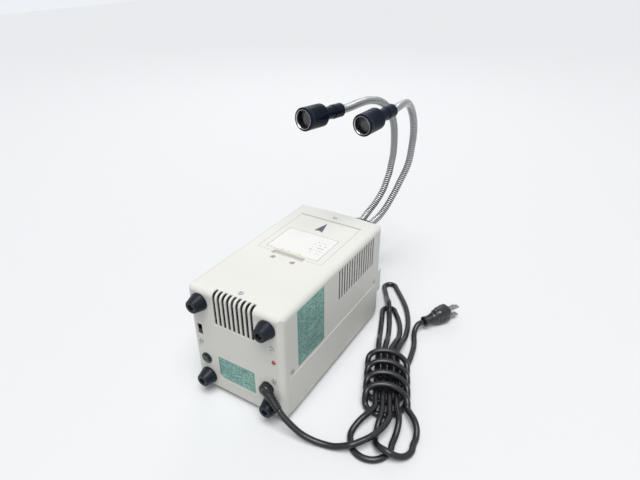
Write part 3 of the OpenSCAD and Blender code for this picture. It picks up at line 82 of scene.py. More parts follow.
# %% Surface tools
def smooth(points, n):
    """Catmull-Rom curve through the points, n steps between neighbours. With a, b, c, d four neighbours and t from
    0 to 1, the curve from b to c is half of 2b + (c - a)t + (2a - 5b + 4c - d)t^2 + (3b - a - 3c + d)t^3."""
    p = np.asarray(points, float)
    q = np.vstack([2 * p[0] - p[1], p, 2 * p[-1] - p[-2]])
    a, b, c, d = q[:-3, None], q[1:-2, None], q[2:-1, None], q[3:, None]
    t = np.linspace(0, 1, n, endpoint=False)[None, :, None]
    curve = 0.5 * (2 * b + (c - a) * t + (2 * a - 5 * b + 4 * c - d) * t**2 + (3 * b - a - 3 * c + d) * t**3)
    return np.vstack([curve.reshape(-1, 3), p[-1:]])


def distances(points):
    """Distance along the polyline to each of its points."""
    return np.concatenate([[0.0], np.cumsum(np.linalg.norm(np.diff(points, axis=0), axis=1))])


def even(points, step):
    """Points about one step apart along the polyline, found by linear interpolation of its coordinates."""
    s = distances(points)
    at = np.linspace(0, s[-1], max(2, int(round(s[-1] / step)) + 1))
    return np.stack([np.interp(at, s, points[:, k]) for k in range(3)], axis=1)


def moving_frame(points):
    """Normal and binormal at each point. The normal is carried along: at each step the part of it along the new
    tangent is taken away, so the frame never spins about the path. The binormal is tangent cross normal."""
    t = np.gradient(points, axis=0)
    t /= np.linalg.norm(t, axis=1)[:, None]
    n = np.empty_like(t)
    last = np.cross(t[0], [0.31, 0.17, 0.93])
    for i, direction in enumerate(t):
        last = last - last.dot(direction) * direction
        last /= np.linalg.norm(last)
        n[i] = last
    return n, np.cross(t, n)


def around(points, radius, sides):
    """Grid of a tube: point i of the path plus radius times (cos v n + sin v b), for v round the circle. The
    radius is one number, or a grid with one number for each ring and side."""
    n, b = moving_frame(points)
    v = np.linspace(0, 2 * math.pi, sides, endpoint=False)
    ring = np.cos(v)[None, :, None] * n[:, None] + np.sin(v)[None, :, None] * b[:, None]
    return points[:, None] + np.broadcast_to(radius, (len(points), sides))[:, :, None] * ring


def grid_object(name, grid):
    """Mesh from a grid of rows by columns whose columns close into rings. Each cell is a quad of two neighbours
    in a row and two in the next one. The first and the last ring are closed by one flat face each."""
    rows, cols = grid.shape[:2]
    i = np.arange(rows - 1)[:, None]
    j = np.arange(cols)[None, :]
    k = (j + 1) % cols
    quads = np.stack([i * cols + j, i * cols + k, (i + 1) * cols + k, (i + 1) * cols + j], axis=-1).reshape(-1, 4)
    first, last = list(range(cols))[::-1], list(range((rows - 1) * cols, rows * cols))
    mesh = bpy.data.meshes.new(name)
    mesh.from_pydata(grid.reshape(-1, 3).tolist(), [], quads.tolist() + [first, last])
    mesh.polygons.foreach_set("use_smooth", [True] * len(quads) + [False, False])
    mesh.update()
    made = bpy.data.objects.new(name, mesh)
    scene.collection.objects.link(made)
    return made


def place(made, body, material):
    """A new piece rides on its body and wears its material."""
    made.data.materials.append(material)
    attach(made, body)


print("surface tools ready")

# %% [markdown]
# ## Mains lead
# A real lead is one round flexible tube. It leaves the sleeve on the rear panel, drops to the bench, runs through
# a hank that is wound round its own waist, and ends in a plug. The route repeats the points of the part's source,
# so the tube lies exactly where the frame's solids lie. A curve object with a bevel would do, but a surface made
# here has rings of even length and a path that can be measured.

# %% Axes and sizes of the hank
MM = 0.001
CORD_D = 7.0
LIE_Z = CORD_D / 2 + 0.1
LANE_Z = 1.5 * CORD_D + 1.1
WAIST_U = 47
SLEEVE_AT = np.array([-40.5, 119.6, 45.5])
SLEEVE_L = 24
SLEEVE_YAW, SLEEVE_DIP = math.radians(78), math.radians(38)
HANK_TURN = math.radians(-66.6)


def in_hank(p):
    """A point of the hank's own axes (u along it, v to its right, w up) in the frame's axes, in millimetres."""
    u, v, w = np.asarray(p, float).T
    c, s = math.cos(HANK_TURN), math.sin(HANK_TURN)
    return np.stack([-131 + u * c + v * s, 2 + u * s - v * c, w], axis=1)


def ease(t):
    """t squared times (3 - 2t): level at both ends."""
    return t * t * (3 - 2 * t)


def lane(v, up):
    """Straight stretch across the waist at height LANE_Z."""
    u = 20.0 * np.arange(-2, 3) * (1 if up else -1)
    return np.stack([u, np.full(5, float(v)), np.full(5, LANE_Z)], axis=1)


def lobe(a, b, length, r, c, belly, side, over):
    """One loop of the hank beyond the waist: out from lane a, round a half circle of radius r centred on v = c, and
    back to lane b. Beyond the waist its height falls from LANE_Z to LIE_Z, and where it passes over another strand,
    at the place over[0], over[1], a bell-shaped hump of height over[2] is added."""
    flat, sign = length - r, math.copysign(1, a - b)
    n = max(6, int(math.floor((length - r) / 10 + 0.5)))
    t = np.arange(n) / n
    g = np.radians(22.5 * np.arange(9))
    out = [flat * t, a + (c + sign * r - a) * ease(t) + sign * belly[0] * np.sin(np.pi * t)]
    bow = [flat + r * np.sin(g), c + sign * r * np.cos(g)]
    t = t[::-1]
    back = [flat * t, b + (c - sign * r - b) * ease(t) - sign * belly[1] * np.sin(np.pi * t)]
    d, v = np.hstack([out, bow, back])
    u = side * (WAIST_U + d)
    drop = LIE_Z + (LANE_Z - LIE_Z) * (1 - ease(np.clip((d - 12) / 26, 0, 1)))
    hump = over[2] * np.exp(-((u - over[0]) ** 2 + (v - over[1]) ** 2) / 260)
    return np.stack([u, v, drop + hump], axis=1)


def waist_wrap():
    """Turns round the waist: along u a steady pitch of 19 with a lean of 20 sin g, across v 24 cos g, and a height
    that goes with the cube-root-like power 0.3 of sin g, so that each turn is nearly flat above and below."""
    g = np.radians(15 * np.arange(91))
    s = np.sin(g)
    w = LANE_Z + (LANE_Z - LIE_Z) * np.sign(s) * np.abs(np.where(np.abs(s) < 1e-9, 0, s)) ** 0.3
    return np.stack([-46 + 19 * g / (2 * np.pi) + 20 * s, 24 * np.cos(g), w], axis=1)


print("hank turned", round(math.degrees(HANK_TURN), 1), "degrees, its strands at", LIE_Z, "and", LANE_Z, "mm")

# %% Route of the lead
sleeve_dir = np.array([-math.cos(SLEEVE_DIP) * math.sin(SLEEVE_YAW), math.cos(SLEEVE_DIP) * math.cos(SLEEVE_YAW),
                       -math.sin(SLEEVE_DIP)])
cord_exit = SLEEVE_AT + SLEEVE_L * sleeve_dir
flat_lay = [0, 0, 0]
hank = in_hank(np.vstack([
    lane(4, True), lobe(4, -12, 98, 9, 0, [9, 0], 1, flat_lay),
    lane(-12, False), lobe(-12, 12, 64, 22, -14, [4, 4], -1, flat_lay),
    lane(12, True), lobe(12, -4, 158, 9, 1, [16, -7], 1, [145, 0, 9]),
    lane(-4, False), lobe(-4, 24, 60, 20, 10, [0, 6], -1, [-106, 0, 9]),
    waist_wrap(), [[5.65, 4, 3.6]]]))
lead = smooth(np.vstack([
    cord_exit, cord_exit + 8 * sleeve_dir,
    [[-76, 125, 18.4], [-88, 124, 11], [-100, 121.5, 6.4], [-111, 118.5, 4.2], [-122, 116, 4.8], [-131, 113, 7.6]],
    in_hank([[-102, -35, 11.4], [-99, -28, 12.2], [-90, -14, 13.4], [-76, -2, 14], [-62, 3.8, 12.6],
             [-52, 4, LANE_Z], [-40, 4, LANE_Z]])]), 8)
plug_at = np.array([-131, -115.5, 12.6])
plug_dir = np.array([math.cos(math.radians(-118)), math.sin(math.radians(-118)), 0])
tail = smooth(np.vstack([
    in_hank([[5.65, 4, 3.6], [6.35, 11, 3.6], [10, 16.2, 3.6], [17.5, 20.4, 3.6], [28, 24, 3.6], [40, 28, 3.6],
             [52, 31, 3.6], [64, 33.5, 3.6], [76, 34.5, 3.6]]),
    [[-128.6, -90.2, 4.6], [-125.9, -99, 7.6]], plug_at - 9 * plug_dir, plug_at]), 8)
print("exit", cord_exit.round(1), "lead", distances(lead)[-1].round(1), "hank", distances(hank)[-1].round(1),
      "tail", distances(tail)[-1].round(1))

# %% [markdown]
# The three parts join into one line of even steps. Small kinks come out of it by turns: one pass draws every
# point towards the middle of its two neighbours, and the next pushes it back, a little further than it came.
# Slow bends pass through both and keep their radius, which plain averaging would make tighter.

# %% One line for the whole lead
CORD_DIAMETER = CORD_D * MM
RING_STEP = 0.0022
DRAW_IN, PUSH_BACK = 0.5, -0.53
BENCH_GAP = 0.00004
lead_line = even(smooth(np.vstack([lead[::8], hank[1:], tail[8::8]]), 6) * MM, RING_STEP)
for weight in 3 * (DRAW_IN, PUSH_BACK):
    between = 0.5 * (lead_line[:-2] + lead_line[2:])
    lead_line[1:-1] += weight * (between - lead_line[1:-1])
lead_line[:, 2] = np.maximum(lead_line[:, 2], 0.5 * CORD_DIAMETER + BENCH_GAP)

# %% [markdown]
# ## Goosenecks
# The arms are flexible conduit: a strip of metal wound into a screw, each turn hooked over the last. A stack of
# torus rings would look similar, but the real turns form one helix, so the surface takes its radius from the
# distance along the path less the angle round it. The ends run plain where they enter the branch and the heads.


# %% Wound arms
def gooseneck(name, route, crest, valley, pitch, sides=30, per_turn=7):
    """Wound conduit along a route: radius = valley + (crest - valley) times w, where w = 1 - |cos(pi q)|^2.5 and q is
    the distance along the path over the pitch, less the share of a full turn round it. So each turn has a broad
    rounded back and a narrow groove, and w fades to 1 over the last 10 mm at each end."""
    line = even(smooth(np.asarray(route, float) * MM, 12), pitch / per_turn)
    s = distances(line)
    q = s[:, None] / pitch - np.arange(sides)[None, :] / sides
    wound = 1 - np.abs(np.cos(np.pi * q)) ** 2.5
    near_end = np.minimum(s, s[-1] - s)[:, None]
    plain = 1 - np.clip((near_end - 0.008) / 0.004, 0, 1)
    high = np.maximum(wound, plain)
    made = grid_object(name, around(line, valley + (crest - valley) * high, sides))
    depth = made.data.attributes.new("groove", "FLOAT", "POINT")
    depth.data.foreach_set("value", (1 - high).ravel())
    print(name, "length", round(float(s[-1]), 3), "m,", int(s[-1] / pitch), "turns")
    return made


def head_point(start, along, d):
    """The point at distance d along a head's axis from its rear end, in millimetres."""
    direction = np.array(along, float)
    return np.array(start, float) + d * direction / np.linalg.norm(direction)


HEAD_A, HEAD_A_AXIS = (-2, -105, 288), (11, 65, 3)
HEAD_B, HEAD_B_AXIS = (-49, -151, 283), (8, 65, -3)


def neck_start(side):
    """Three points straight out of the branch block, 8.5 mm to one side of its middle."""
    return [(side * 8.5, y, 95) for y in (-178.5, -184, -191)]


ARM_CREST, ARM_VALLEY, ARM_PITCH = 0.0053, 0.0044, 0.0031
neck_a_route = neck_start(1) + [
    (8.4, -201, 95.5), (8, -217, 100), (4, -229, 109), (-1, -238, 122), (-4, -244, 133), (-6, -248, 145),
    (-8, -251.5, 157), (-9, -253, 169), (-11, -254, 187), (-12, -252, 205), (-13.5, -246, 223), (-15, -237, 240),
    (-16.5, -220, 260), (-17, -200, 274), (-14.5, -182, 283), (-11, -163, 287.5), (-8, -144, 288.3),
    (-5.5, -126, 287.6), *[head_point(HEAD_A, HEAD_A_AXIS, d) for d in (-9, 0, 9)]]
neck_b_route = neck_start(-1) + [
    (-9, -202, 95.3), (-11, -217, 98), (-15, -231, 108), (-20, -242, 124), (-23, -247, 134), (-26, -251, 145),
    (-30, -255, 158), (-34, -257, 172), (-36.5, -257.5, 186), (-38, -256.5, 200), (-40, -254, 217),
    (-42, -248, 233), (-44, -237, 250.5), (-45.5, -222, 267), (-47, -206, 278), (-48.8, -189, 283),
    (-50, -172, 284), *[head_point(HEAD_B, HEAD_B_AXIS, d) for d in (-9, 0, 9)]]
print("arms with", len(neck_a_route), "and", len(neck_b_route), "points")

# %% [markdown]
# ## Plug
# The plug's body is moulded rubber round its pins. It is a loft: a row of closed sections along its axis, each a
# superellipse. With exponent 2 the section is an ellipse, and with 3 it is an ellipse with squared shoulders, as
# a moulded grip has. A ring and five ribs are moulded at the cord's end; on the real plug they let the lead bend.


# %% Moulding of the plug
PLUG_LENGTH, PLUG_NECK = 42, 15
RIBS_FROM, RIB_PITCH, RIB_DEPTH = 5.6, 1.9, 0.75
GRIP_DEPTH = 0.7
# distance along the axis, half height, half width, exponent: the ring, the ribbed neck, the shoulders, the face
plug_stations = np.array([
    [0, 3.4, 3.4, 2], [0.5, 5.9, 5.9, 2], [1.5, 7.1, 7.1, 2], [4.2, 7.1, 7.1, 2], [5.2, 6.1, 6.1, 2],
    [PLUG_NECK - 2, 6.7, 6.3, 2], [PLUG_NECK + 1, 7.9, 6.8, 2.2], [PLUG_NECK + 6, 10.7, 8.4, 2.5],
    [PLUG_NECK + 12, 12.0, 9.6, 2.8], [PLUG_LENGTH - 7, 12.4, 10.2, 3], [PLUG_LENGTH - 2.2, 12.3, 10.2, 3],
    [PLUG_LENGTH - 0.8, 11.8, 9.8, 3], [PLUG_LENGTH - 0.2, 10.9, 9.0, 3], [PLUG_LENGTH, 9.8, 8.0, 3]])


def moulded_plug(name, at, direction, rings=240, sides=72):
    """Loft along the plug's axis. At distance s the half height a, half width b and exponent n come from smooth
    steps between stations. The ribs take away RIB_DEPTH times a rounded wave. The section's radius at angle v is
    (|cos v / a|^n + |sin v / b|^n) to the power -1/n, less a shallow finger grip on both flanks."""
    s = np.linspace(0, PLUG_LENGTH, rings)
    k = np.clip(np.searchsorted(plug_stations[:, 0], s, side="right") - 1, 0, len(plug_stations) - 2)
    before, after = plug_stations[k], plug_stations[k + 1]
    t = ease((s - before[:, 0]) / (after[:, 0] - before[:, 0]))[:, None]
    a, b, n = (before[:, 1:] * (1 - t) + after[:, 1:] * t).T
    ribbed = ease(np.clip((s - RIBS_FROM) / 0.8, 0, 1)) * ease(np.clip((PLUG_NECK - 0.6 - s) / 0.8, 0, 1))
    ribs = RIB_DEPTH * ribbed * (0.5 + 0.5 * np.cos(2 * math.pi * (s - RIBS_FROM) / RIB_PITCH)) ** 1.5
    v = np.linspace(0, 2 * math.pi, sides, endpoint=False)[None, :]
    a, b, n = (a - ribs)[:, None], (b - ribs)[:, None], n[:, None]
    r = (np.abs(np.cos(v) / a) ** n + np.abs(np.sin(v) / b) ** n) ** (-1 / n)
    grip = np.exp(-(((s[:, None] - PLUG_NECK - 11) / 5.5) ** 4) - (r * np.cos(v) / 6.5) ** 4)
    r = r - GRIP_DEPTH * grip * np.abs(np.sin(v)) ** 4
    side = np.array([-direction[1], direction[0], 0])
    grid = (at + s[:, None, None] * direction + (r * np.cos(v))[:, :, None] * np.array([0, 0, 1.0])
            + (r * np.sin(v))[:, :, None] * side)
    return grid_object(name, grid[::-1] * MM)


plug_skin = moulded_plug("plug_moulding", plug_at, plug_dir)
print("plug of", len(plug_skin.data.polygons), "faces")

# %% [markdown]
# ## How a finish is written
# A material is a small graph: a position on the object, patterns made from it, and the Principled shader. The
# class below only shortens the calls. Patterns read Object coordinates, which are the frame's own metres, so a
# pattern stays on its piece when the piece moves. A value that is the same all over goes on the shader itself.


# %% Finish
class Finish:
    """A material being built. Each method adds one node and gives back the socket that the next one reads."""

    def __init__(self, name, colour, roughness, metallic=0.0, **shader):
        self.material = bpy.data.materials.new(name)
        self.material.use_nodes = True
        self.tree = self.material.node_tree
        self.out = self.tree.nodes["Principled BSDF"].inputs
        self.out["Base Color"].default_value = (*colour, 1)
        self.out["Roughness"].default_value = roughness
        self.out["Metallic"].default_value = metallic
        for key, value in shader.items():
            self.out[key.replace("_", " ").title().replace("Ior", "IOR")].default_value = value
        self.here = self.add("TexCoord", out="Object")
        self.material.diffuse_color = (*colour, 1)

    def add(self, kind, values=None, out=0, **settings):
        """A new node of that kind with its inputs fed and its settings set. Gives back one of its outputs."""
        node = self.tree.nodes.new("ShaderNode" + kind)
        for key, value in settings.items():
            setattr(node, key, value)
        for key, value in (values or {}).items():
            self.feed(node.inputs[key], value)
        return node.outputs[out]

    def feed(self, socket, value):
        """Link another socket to this one, or write a plain value on it."""
        if isinstance(value, bpy.types.NodeSocket):
            self.tree.links.new(value, socket)
        else:
            socket.default_value = value

    def spread(self, scale):
        """The place on the object with each axis multiplied: a small factor draws a pattern out along that axis."""
        return self.add("Mapping", {"Vector": self.here, "Scale": scale})

    def noise(self, scale, detail=2.0, vector=None, rough=0.5):
        """Cloudy noise from 0 to 1, with about `scale` clouds to the metre and `detail` finer layers on them."""
        return self.add("TexNoise", {"Vector": vector or self.here, "Scale": scale, "Detail": detail,
                                     "Roughness": rough})

    def cells(self, scale):
        """Distance to the nearest of `scale` scattered points to the metre: a field of small round cells."""
        return self.add("TexVoronoi", {"Vector": self.here, "Scale": scale})

    def number(self, operation, a, b=0.0, c=0.0):
        """One sum on sockets or plain numbers. COMPARE is 1 where a is within c of b."""
        return self.add("Math", {0: a, 1: b, 2: c}, operation=operation)

    def axes(self):
        """The three coordinates of the place, each a socket."""
        node = self.tree.nodes.new("ShaderNodeSeparateXYZ")
        self.tree.links.new(self.here, node.inputs[0])
        return node.outputs[0], node.outputs[1], node.outputs[2]

    def spanned(self, value, low, high, to_low=0.0, to_high=1.0):
        """Straight line from to_low where the value is low to to_high where it is high, level beyond both."""
        return self.add("MapRange", {"Value": value, 1: low, 2: high, 3: to_low, 4: to_high}, clamp=True)

    def mixed(self, factor, a, b, blend="MIX"):
        """Colour a where the factor is 0 and colour b where it is 1."""
        sockets = {0: factor, 6: a if not isinstance(a, tuple) else (*a[:3], 1),
                   7: b if not isinstance(b, tuple) else (*b[:3], 1)}
        return self.add("Mix", sockets, out=2, data_type="RGBA", blend_type=blend)

    def raised(self, height, distance, under=None):
        """Bump of that height field. Distance is the real height in metres of a step from 0 to 1."""
        values = {"Height": height, "Distance": distance}
        if under is not None:
            values["Normal"] = under
        return self.add("Bump", values)

    def paint(self, **sockets):
        """Feed inputs of the Principled shader by name."""
        for key, value in sockets.items():
            self.feed(self.out[key.replace("_", " ").title()], value)


def shade(colour, factor):
    """The colour with each channel times the factor."""
    return tuple(c * factor for c in colour)


print("finishes can be written")

# %% [markdown]
# ## Moulded and painted surfaces
# The lamp house is pale ivory with a fine even grain. Real moulded plastic shows three things at three scales: a
# slow drift of tone over centimetres, soft patches where hands polished it, and grain of a third of a millimetre.
# Each moulded finish below has these three, in its own amounts. Dust is a fourth layer, near the bench.


# %% Moulded plastic
def moulded(name, colour, roughness, grain=0.00035, depth=0.00001, drift=0.05, dusty=0.0, **shader):
    """Plastic: colour times 1 - drift to 1 + drift by a slow noise, roughness 0.07 up or down by patches, bump of
    that depth from cells of the grain's size. Dust, from 50 mm up to none, mixes in ochre near the bench."""
    f = Finish(name, colour, roughness, **shader)
    slow = f.noise(9, 4)
    patches = f.noise(38, 3, rough=0.65)
    tone = f.mixed(f.spanned(slow, 0.3, 0.7), shade(colour, 1 - drift), shade(colour, 1 + drift))
    if dusty:
        _, _, z = f.axes()
        low = f.number("MULTIPLY", f.spanned(z, 0.004, 0.05, 1, 0), f.spanned(patches, 0.35, 0.75, 0.2, 1))
        tone = f.mixed(f.number("MULTIPLY", low, dusty), tone, (0.42, 0.36, 0.26))
    fine = f.cells(1 / grain)
    f.paint(Base_Color=tone, Roughness=f.spanned(patches, 0.25, 0.75, roughness - 0.07, roughness + 0.07),
            Normal=f.raised(f.number("ADD", fine, f.noise(0.6 / grain, 2)), depth))
    f.tone = tone
    return f


def marked(f, mask, ink, strength=0.9):
    """Ink over a finish's tone where the mask is 1."""
    f.tone = f.mixed(f.number("MULTIPLY", mask, strength), f.tone, ink)
    f.paint(Base_Color=f.tone)
    return f


# %% [markdown]
# The case's slots need one more layer. A slot three millimetres deep gets little light and holds some dust, so
# the tone is painted darker with the depth below the outer skin, mostly as painted shade. That depth comes from
# the case's own box and its rolled edge.

# %% Slots, scuffs and the housing
ivory = (0.78, 0.768, 0.722)
case_x, case_end, case_top = (float(v) for v in (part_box("top_cover")[1][0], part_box("rear_panel")[1][1],
                                                 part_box("top_cover")[1][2]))
ROLL = 0.007


def slotted(f):
    """Paints shade, with some dust, into a housing finish inside the slots. With a and b the distances of a point
    past the middle of the rolled rear edge, along y and z, its depth below the skin is the roll's radius less the
    length of the positive parts of a and b, less the larger of a and b where both are negative. At the sides the
    depth is the half width less |x|. The painted shade starts 0.8 mm deep in the grille and 0.2 mm deep in the
    finer vents."""
    x, y, z = f.axes()
    a, b = f.number("SUBTRACT", y, case_end - ROLL), f.number("SUBTRACT", z, case_top - ROLL)
    pa, pb = f.number("MAXIMUM", a, 0.0), f.number("MAXIMUM", b, 0.0)
    out = f.number("SQRT", f.number("ADD", f.number("MULTIPLY", pa, pa), f.number("MULTIPLY", pb, pb)))
    deep = f.number("SUBTRACT", f.number("SUBTRACT", ROLL, out), f.number("MINIMUM", f.number("MAXIMUM", a, b), 0.0))
    side = f.number("SUBTRACT", case_x, f.number("ABSOLUTE", x))
    grille = f.number("MULTIPLY", f.number("COMPARE", x, 0.0, 0.029), f.number("COMPARE", z, case_top, 0.044))
    grille = f.number("MULTIPLY", grille, f.number("COMPARE", y, case_end, 0.0125))
    vents = f.number("MULTIPLY", f.number("COMPARE", y, -0.0455, 0.047),
                     f.number("COMPARE", z, case_top - 0.029, 0.023))
    # painted shade with some dust: darker with the depth inside the grille and the side vents
    slot_shade_and_dust = f.number("MAXIMUM", f.number("MULTIPLY", f.spanned(deep, 0.0008, 0.0022), grille),
                    f.number("MULTIPLY", f.spanned(side, 0.0002, 0.0010), vents))
    return marked(f, slot_shade_and_dust, (0.05, 0.052, 0.048), 0.92)


def scuffed(f, strength=0.3):
    """Sparse short rubs: a stretched noise is cut near its top, so that only a few thin streaks stay."""
    rubs = f.spanned(f.noise(70, 5, f.spread((1, 0.35, 1.6)), rough=0.72), 0.70, 0.76)
    return marked(f, rubs, (0.42, 0.41, 0.38), strength)


house = slotted(scuffed(moulded("housing_ivory", ivory, 0.45, grain=0.0005, depth=0.000012, drift=0.03, dusty=0.3)))
knob = scuffed(moulded("knob_ivory", (0.76, 0.745, 0.69), 0.32, grain=0.0009, drift=0.03, coat_weight=0.2), 0.2)
print("case half width", round(case_x, 4), "end", round(case_end, 4), "top", round(case_top, 4))

# %% [markdown]
# The front end panel carries the printed scale round the brightness dial. A print is only a mask in the
# material: the angle round the dial's axis is cut into even steps, and a narrow window of each step, between two
# radii, is ink.


# %% Scale of the dial
DIAL_X, DIAL_Z = -0.034, 0.056
TICK_STEP, SWEEP = 27, 136


def printed_front():
    """Housing finish with a scale: ticks every TICK_STEP degrees round the dial out to SWEEP, and a thin arc under
    them. A tick is ink where the angle from the nearest step, times the radius, is under 0.3 mm."""
    f = moulded("front_ivory", ivory, 0.45, grain=0.0005, depth=0.000012, drift=0.03, dusty=0.3)
    x, y, z = f.axes()
    dx, dz = f.number("SUBTRACT", x, DIAL_X), f.number("SUBTRACT", z, DIAL_Z)
    radius = f.number("SQRT", f.number("ADD", f.number("MULTIPLY", dx, dx), f.number("MULTIPLY", dz, dz)))
    angle = f.number("MULTIPLY", f.number("ARCTAN2", dx, dz), 180 / math.pi)
    offset = f.number("ABSOLUTE", f.number("WRAP", angle, TICK_STEP / 2, -TICK_STEP / 2))
    across = f.number("MULTIPLY", f.number("MULTIPLY", offset, math.pi / 180), radius)
    tick = f.number("MULTIPLY", f.number("LESS_THAN", across, 0.0003), f.number("COMPARE", radius, 0.0168, 0.0009))
    arc = f.number("COMPARE", radius, 0.0159, 0.00014)
    swept = f.number("LESS_THAN", f.number("ABSOLUTE", angle), SWEEP)
    print_here = f.number("MULTIPLY", f.number("MAXIMUM", tick, arc), swept)
    print_here = f.number("MULTIPLY", print_here, f.number("LESS_THAN", y, -0.12))
    return scuffed(marked(f, print_here, (0.03, 0.035, 0.05)))


front = printed_front()
print("front panel print has", len(front.tree.nodes), "nodes")

# %% [markdown]
# ## Black plastics and rubber
# Black is never flat black. The rubber feet are glossy with a slight blue cast, the lead's sheath is smoother
# still and picks up grey dust in long streaks, and the switch parts are fine-grained.

# %% Dark finishes
rubber = moulded("foot_rubber", (0.007, 0.010, 0.017), 0.3, grain=0.0011, drift=0.25, specular_ior_level=0.22)
sheath = moulded("cord_black", (0.007, 0.007, 0.009), 0.27, grain=0.0022, depth=0.000008, drift=0.3)
marked(sheath, sheath.spanned(sheath.noise(260, 4, rough=0.7), 0.56, 0.74), (0.05, 0.048, 0.045), 0.5)
grip_rubber = moulded("plug_black", (0.007, 0.007, 0.008), 0.2, grain=0.0016, depth=0.000006, drift=0.3,
                      coat_weight=0.25)
marked(grip_rubber, grip_rubber.spanned(grip_rubber.noise(300, 4, rough=0.7), 0.58, 0.76), (0.05, 0.048, 0.045), 0.5)
fitting = moulded("fitting_black", (0.012, 0.012, 0.013), 0.36, grain=0.0004, drift=0.15)
fan_plastic = moulded("fan_black", (0.015, 0.015, 0.016), 0.48, grain=0.0006, drift=0.2, dusty=0.4)
cap_green = moulded("cap_dark_green", (0.010, 0.030, 0.024), 0.3, grain=0.0005, drift=0.25, coat_weight=0.3)
branch = moulded("branch_dark", (0.008, 0.011, 0.021), 0.34, grain=0.0005, drift=0.2, specular_ior_level=0.3)
print("seven dark finishes")


# %% [markdown]
# ## Bare metals
# Turned, ground and rolled metal all carry fine parallel marks. A noise that is stretched along one axis gives
# them: the marks move both the tone and the roughness, and a slower noise adds the clouds that handling leaves.


# %% Metals
def brushed(name, colour, roughness, along=(1, 1, 1), pitch=900, depth=0.000004, **shader):
    """Metal: streaks of noise drawn out along the direction with the small factor, and handling clouds."""
    f = Finish(name, colour, roughness, metallic=1.0, **shader)
    streaks = f.noise(pitch, 3, f.spread(along))
    clouds = f.noise(55, 4, rough=0.6)
    tone = f.mixed(f.spanned(streaks, 0.3, 0.7), shade(colour, 0.86), shade(colour, 1.04))
    f.tone = f.mixed(f.spanned(clouds, 0.5, 0.75, 0, 0.35), tone, shade(colour, 0.7))
    f.paint(Base_Color=f.tone, Roughness=f.number("ADD", f.spanned(streaks, 0.3, 0.7, roughness - 0.05,
            roughness + 0.06), f.spanned(clouds, 0.35, 0.75, 0, 0.1)), Normal=f.raised(streaks, depth))
    return f


screw_zinc = brushed("screw_steel", (0.56, 0.56, 0.55), 0.3, pitch=1500)
hinge_steel = brushed("hinge_steel", (0.55, 0.55, 0.56), 0.24, along=(0.05, 1, 1), pitch=2400)
turned = brushed("turned_aluminium", (0.72, 0.72, 0.72), 0.26, along=(0.08, 1, 0.08), pitch=2600)
nickel = brushed("blade_nickel", (0.30, 0.30, 0.29), 0.24, along=(0.2, 1, 1), pitch=1600)
contact = brushed("contact_metal", (0.70, 0.70, 0.69), 0.16, along=(1, 0.1, 1), pitch=1800)
zinc = brushed("pot_zinc", (0.48, 0.48, 0.47), 0.38, pitch=500)
sheet = brushed("bracket_metal", (0.60, 0.61, 0.61), 0.34, along=(1, 0.04, 1), pitch=1700)
print("seven metals")

# %% [markdown]
# The two focusing heads are anodised aluminium, almost black with a blue cast. The barrel has a knurled band behind
# its front edge, whose tips are rubbed bright and painted lighter, partly as wear and partly as a painted glint on
# each tip. A knurl is two sets of grooves that cross, so its height is the product of two waves that run round the
# head's own axis, one leaning forward and one back.


# %% Heads
def round_axis(f, start, along):
    """Distance along a head's axis in metres and angle round it in radians, as sockets. With d along the axis and
    u and w square to it, they are the products of the place with d, and the arc tangent of those with u and w."""
    d = Vector(along).normalized()
    u = d.orthogonal().normalized()
    from_start = f.add("VectorMath", {0: f.here, 1: tuple(MM * c for c in start)}, operation="SUBTRACT")
    s, p, q = (f.add("VectorMath", {0: from_start, 1: tuple(v)}, out=1, operation="DOT_PRODUCT")
               for v in (d, u, d.cross(u)))
    return s, f.number("ARCTAN2", p, q)


def head_skin(name, start, along):
    """Anodised navy. In the band from 59.5 to 64 mm along the axis, height = the positive part of
    sin(44 v + 3.6 s) times the positive part of sin(44 v - 3.6 s), with s in millimetres and v the angle."""
    f = moulded(name, (0.003, 0.007, 0.019), 0.27, grain=0.00025, depth=0.000004, drift=0.25,
                specular_ior_level=0.09)
    s, v = round_axis(f, start, along)
    lean, turn = f.number("MULTIPLY", s, 3600.0), f.number("MULTIPLY", v, 44.0)
    ways = [f.number("MAXIMUM", f.number("SINE", f.number(way, turn, lean)), 0.0) for way in ("ADD", "SUBTRACT")]
    knurl = f.number("MULTIPLY", f.number("MULTIPLY", *ways), f.number("COMPARE", s, 0.06175, 0.00225))
    # knurl tips painted lighter grey: partly rubbed wear, partly a painted glint
    marked(f, f.spanned(knurl, 0.55, 0.85), (0.30, 0.31, 0.33), 0.75)
    marked(f, f.spanned(f.noise(420, 5, rough=0.75), 0.66, 0.72), (0.07, 0.07, 0.08), 0.3)
    f.paint(Normal=f.raised(knurl, 0.0003, under=f.raised(f.cells(4000), 0.000004)))
    return f


def rim_skin(name, start, along):
    """Retaining ring: black inside, and bright metal on its narrow front lip, past 65.7 mm along the axis."""
    f = brushed(name, (0.62, 0.62, 0.61), 0.2, along=(1, 0.08, 1), pitch=2200)
    s, _ = round_axis(f, start, along)
    inside = f.spanned(s, 0.0655, 0.0658, 1, 0)
    f.paint(Base_Color=f.mixed(inside, f.tone, (0.012, 0.012, 0.014)), Metallic=f.spanned(s, 0.0655, 0.0658))
    return f


heads = {"a": (HEAD_A, HEAD_A_AXIS), "b": (HEAD_B, HEAD_B_AXIS)}
head_skins = {key: head_skin("anodised_" + key, *at) for key, at in heads.items()}
rim_skins = {key: rim_skin("rim_" + key, *at) for key, at in heads.items()}
print("head finishes with", len(head_skins["a"].tree.nodes), "nodes each")

# %% [markdown]
# The conduit gets one thing more. gooseneck() stores, at every point, how deep it lies in a groove, and the finish
# is painted darker there: painted shade in the grooves.

# %% Conduit
conduit = brushed("gooseneck_metal", (0.74, 0.74, 0.74), 0.2, pitch=800)
groove = conduit.add("Attribute", out="Fac", attribute_name="groove")
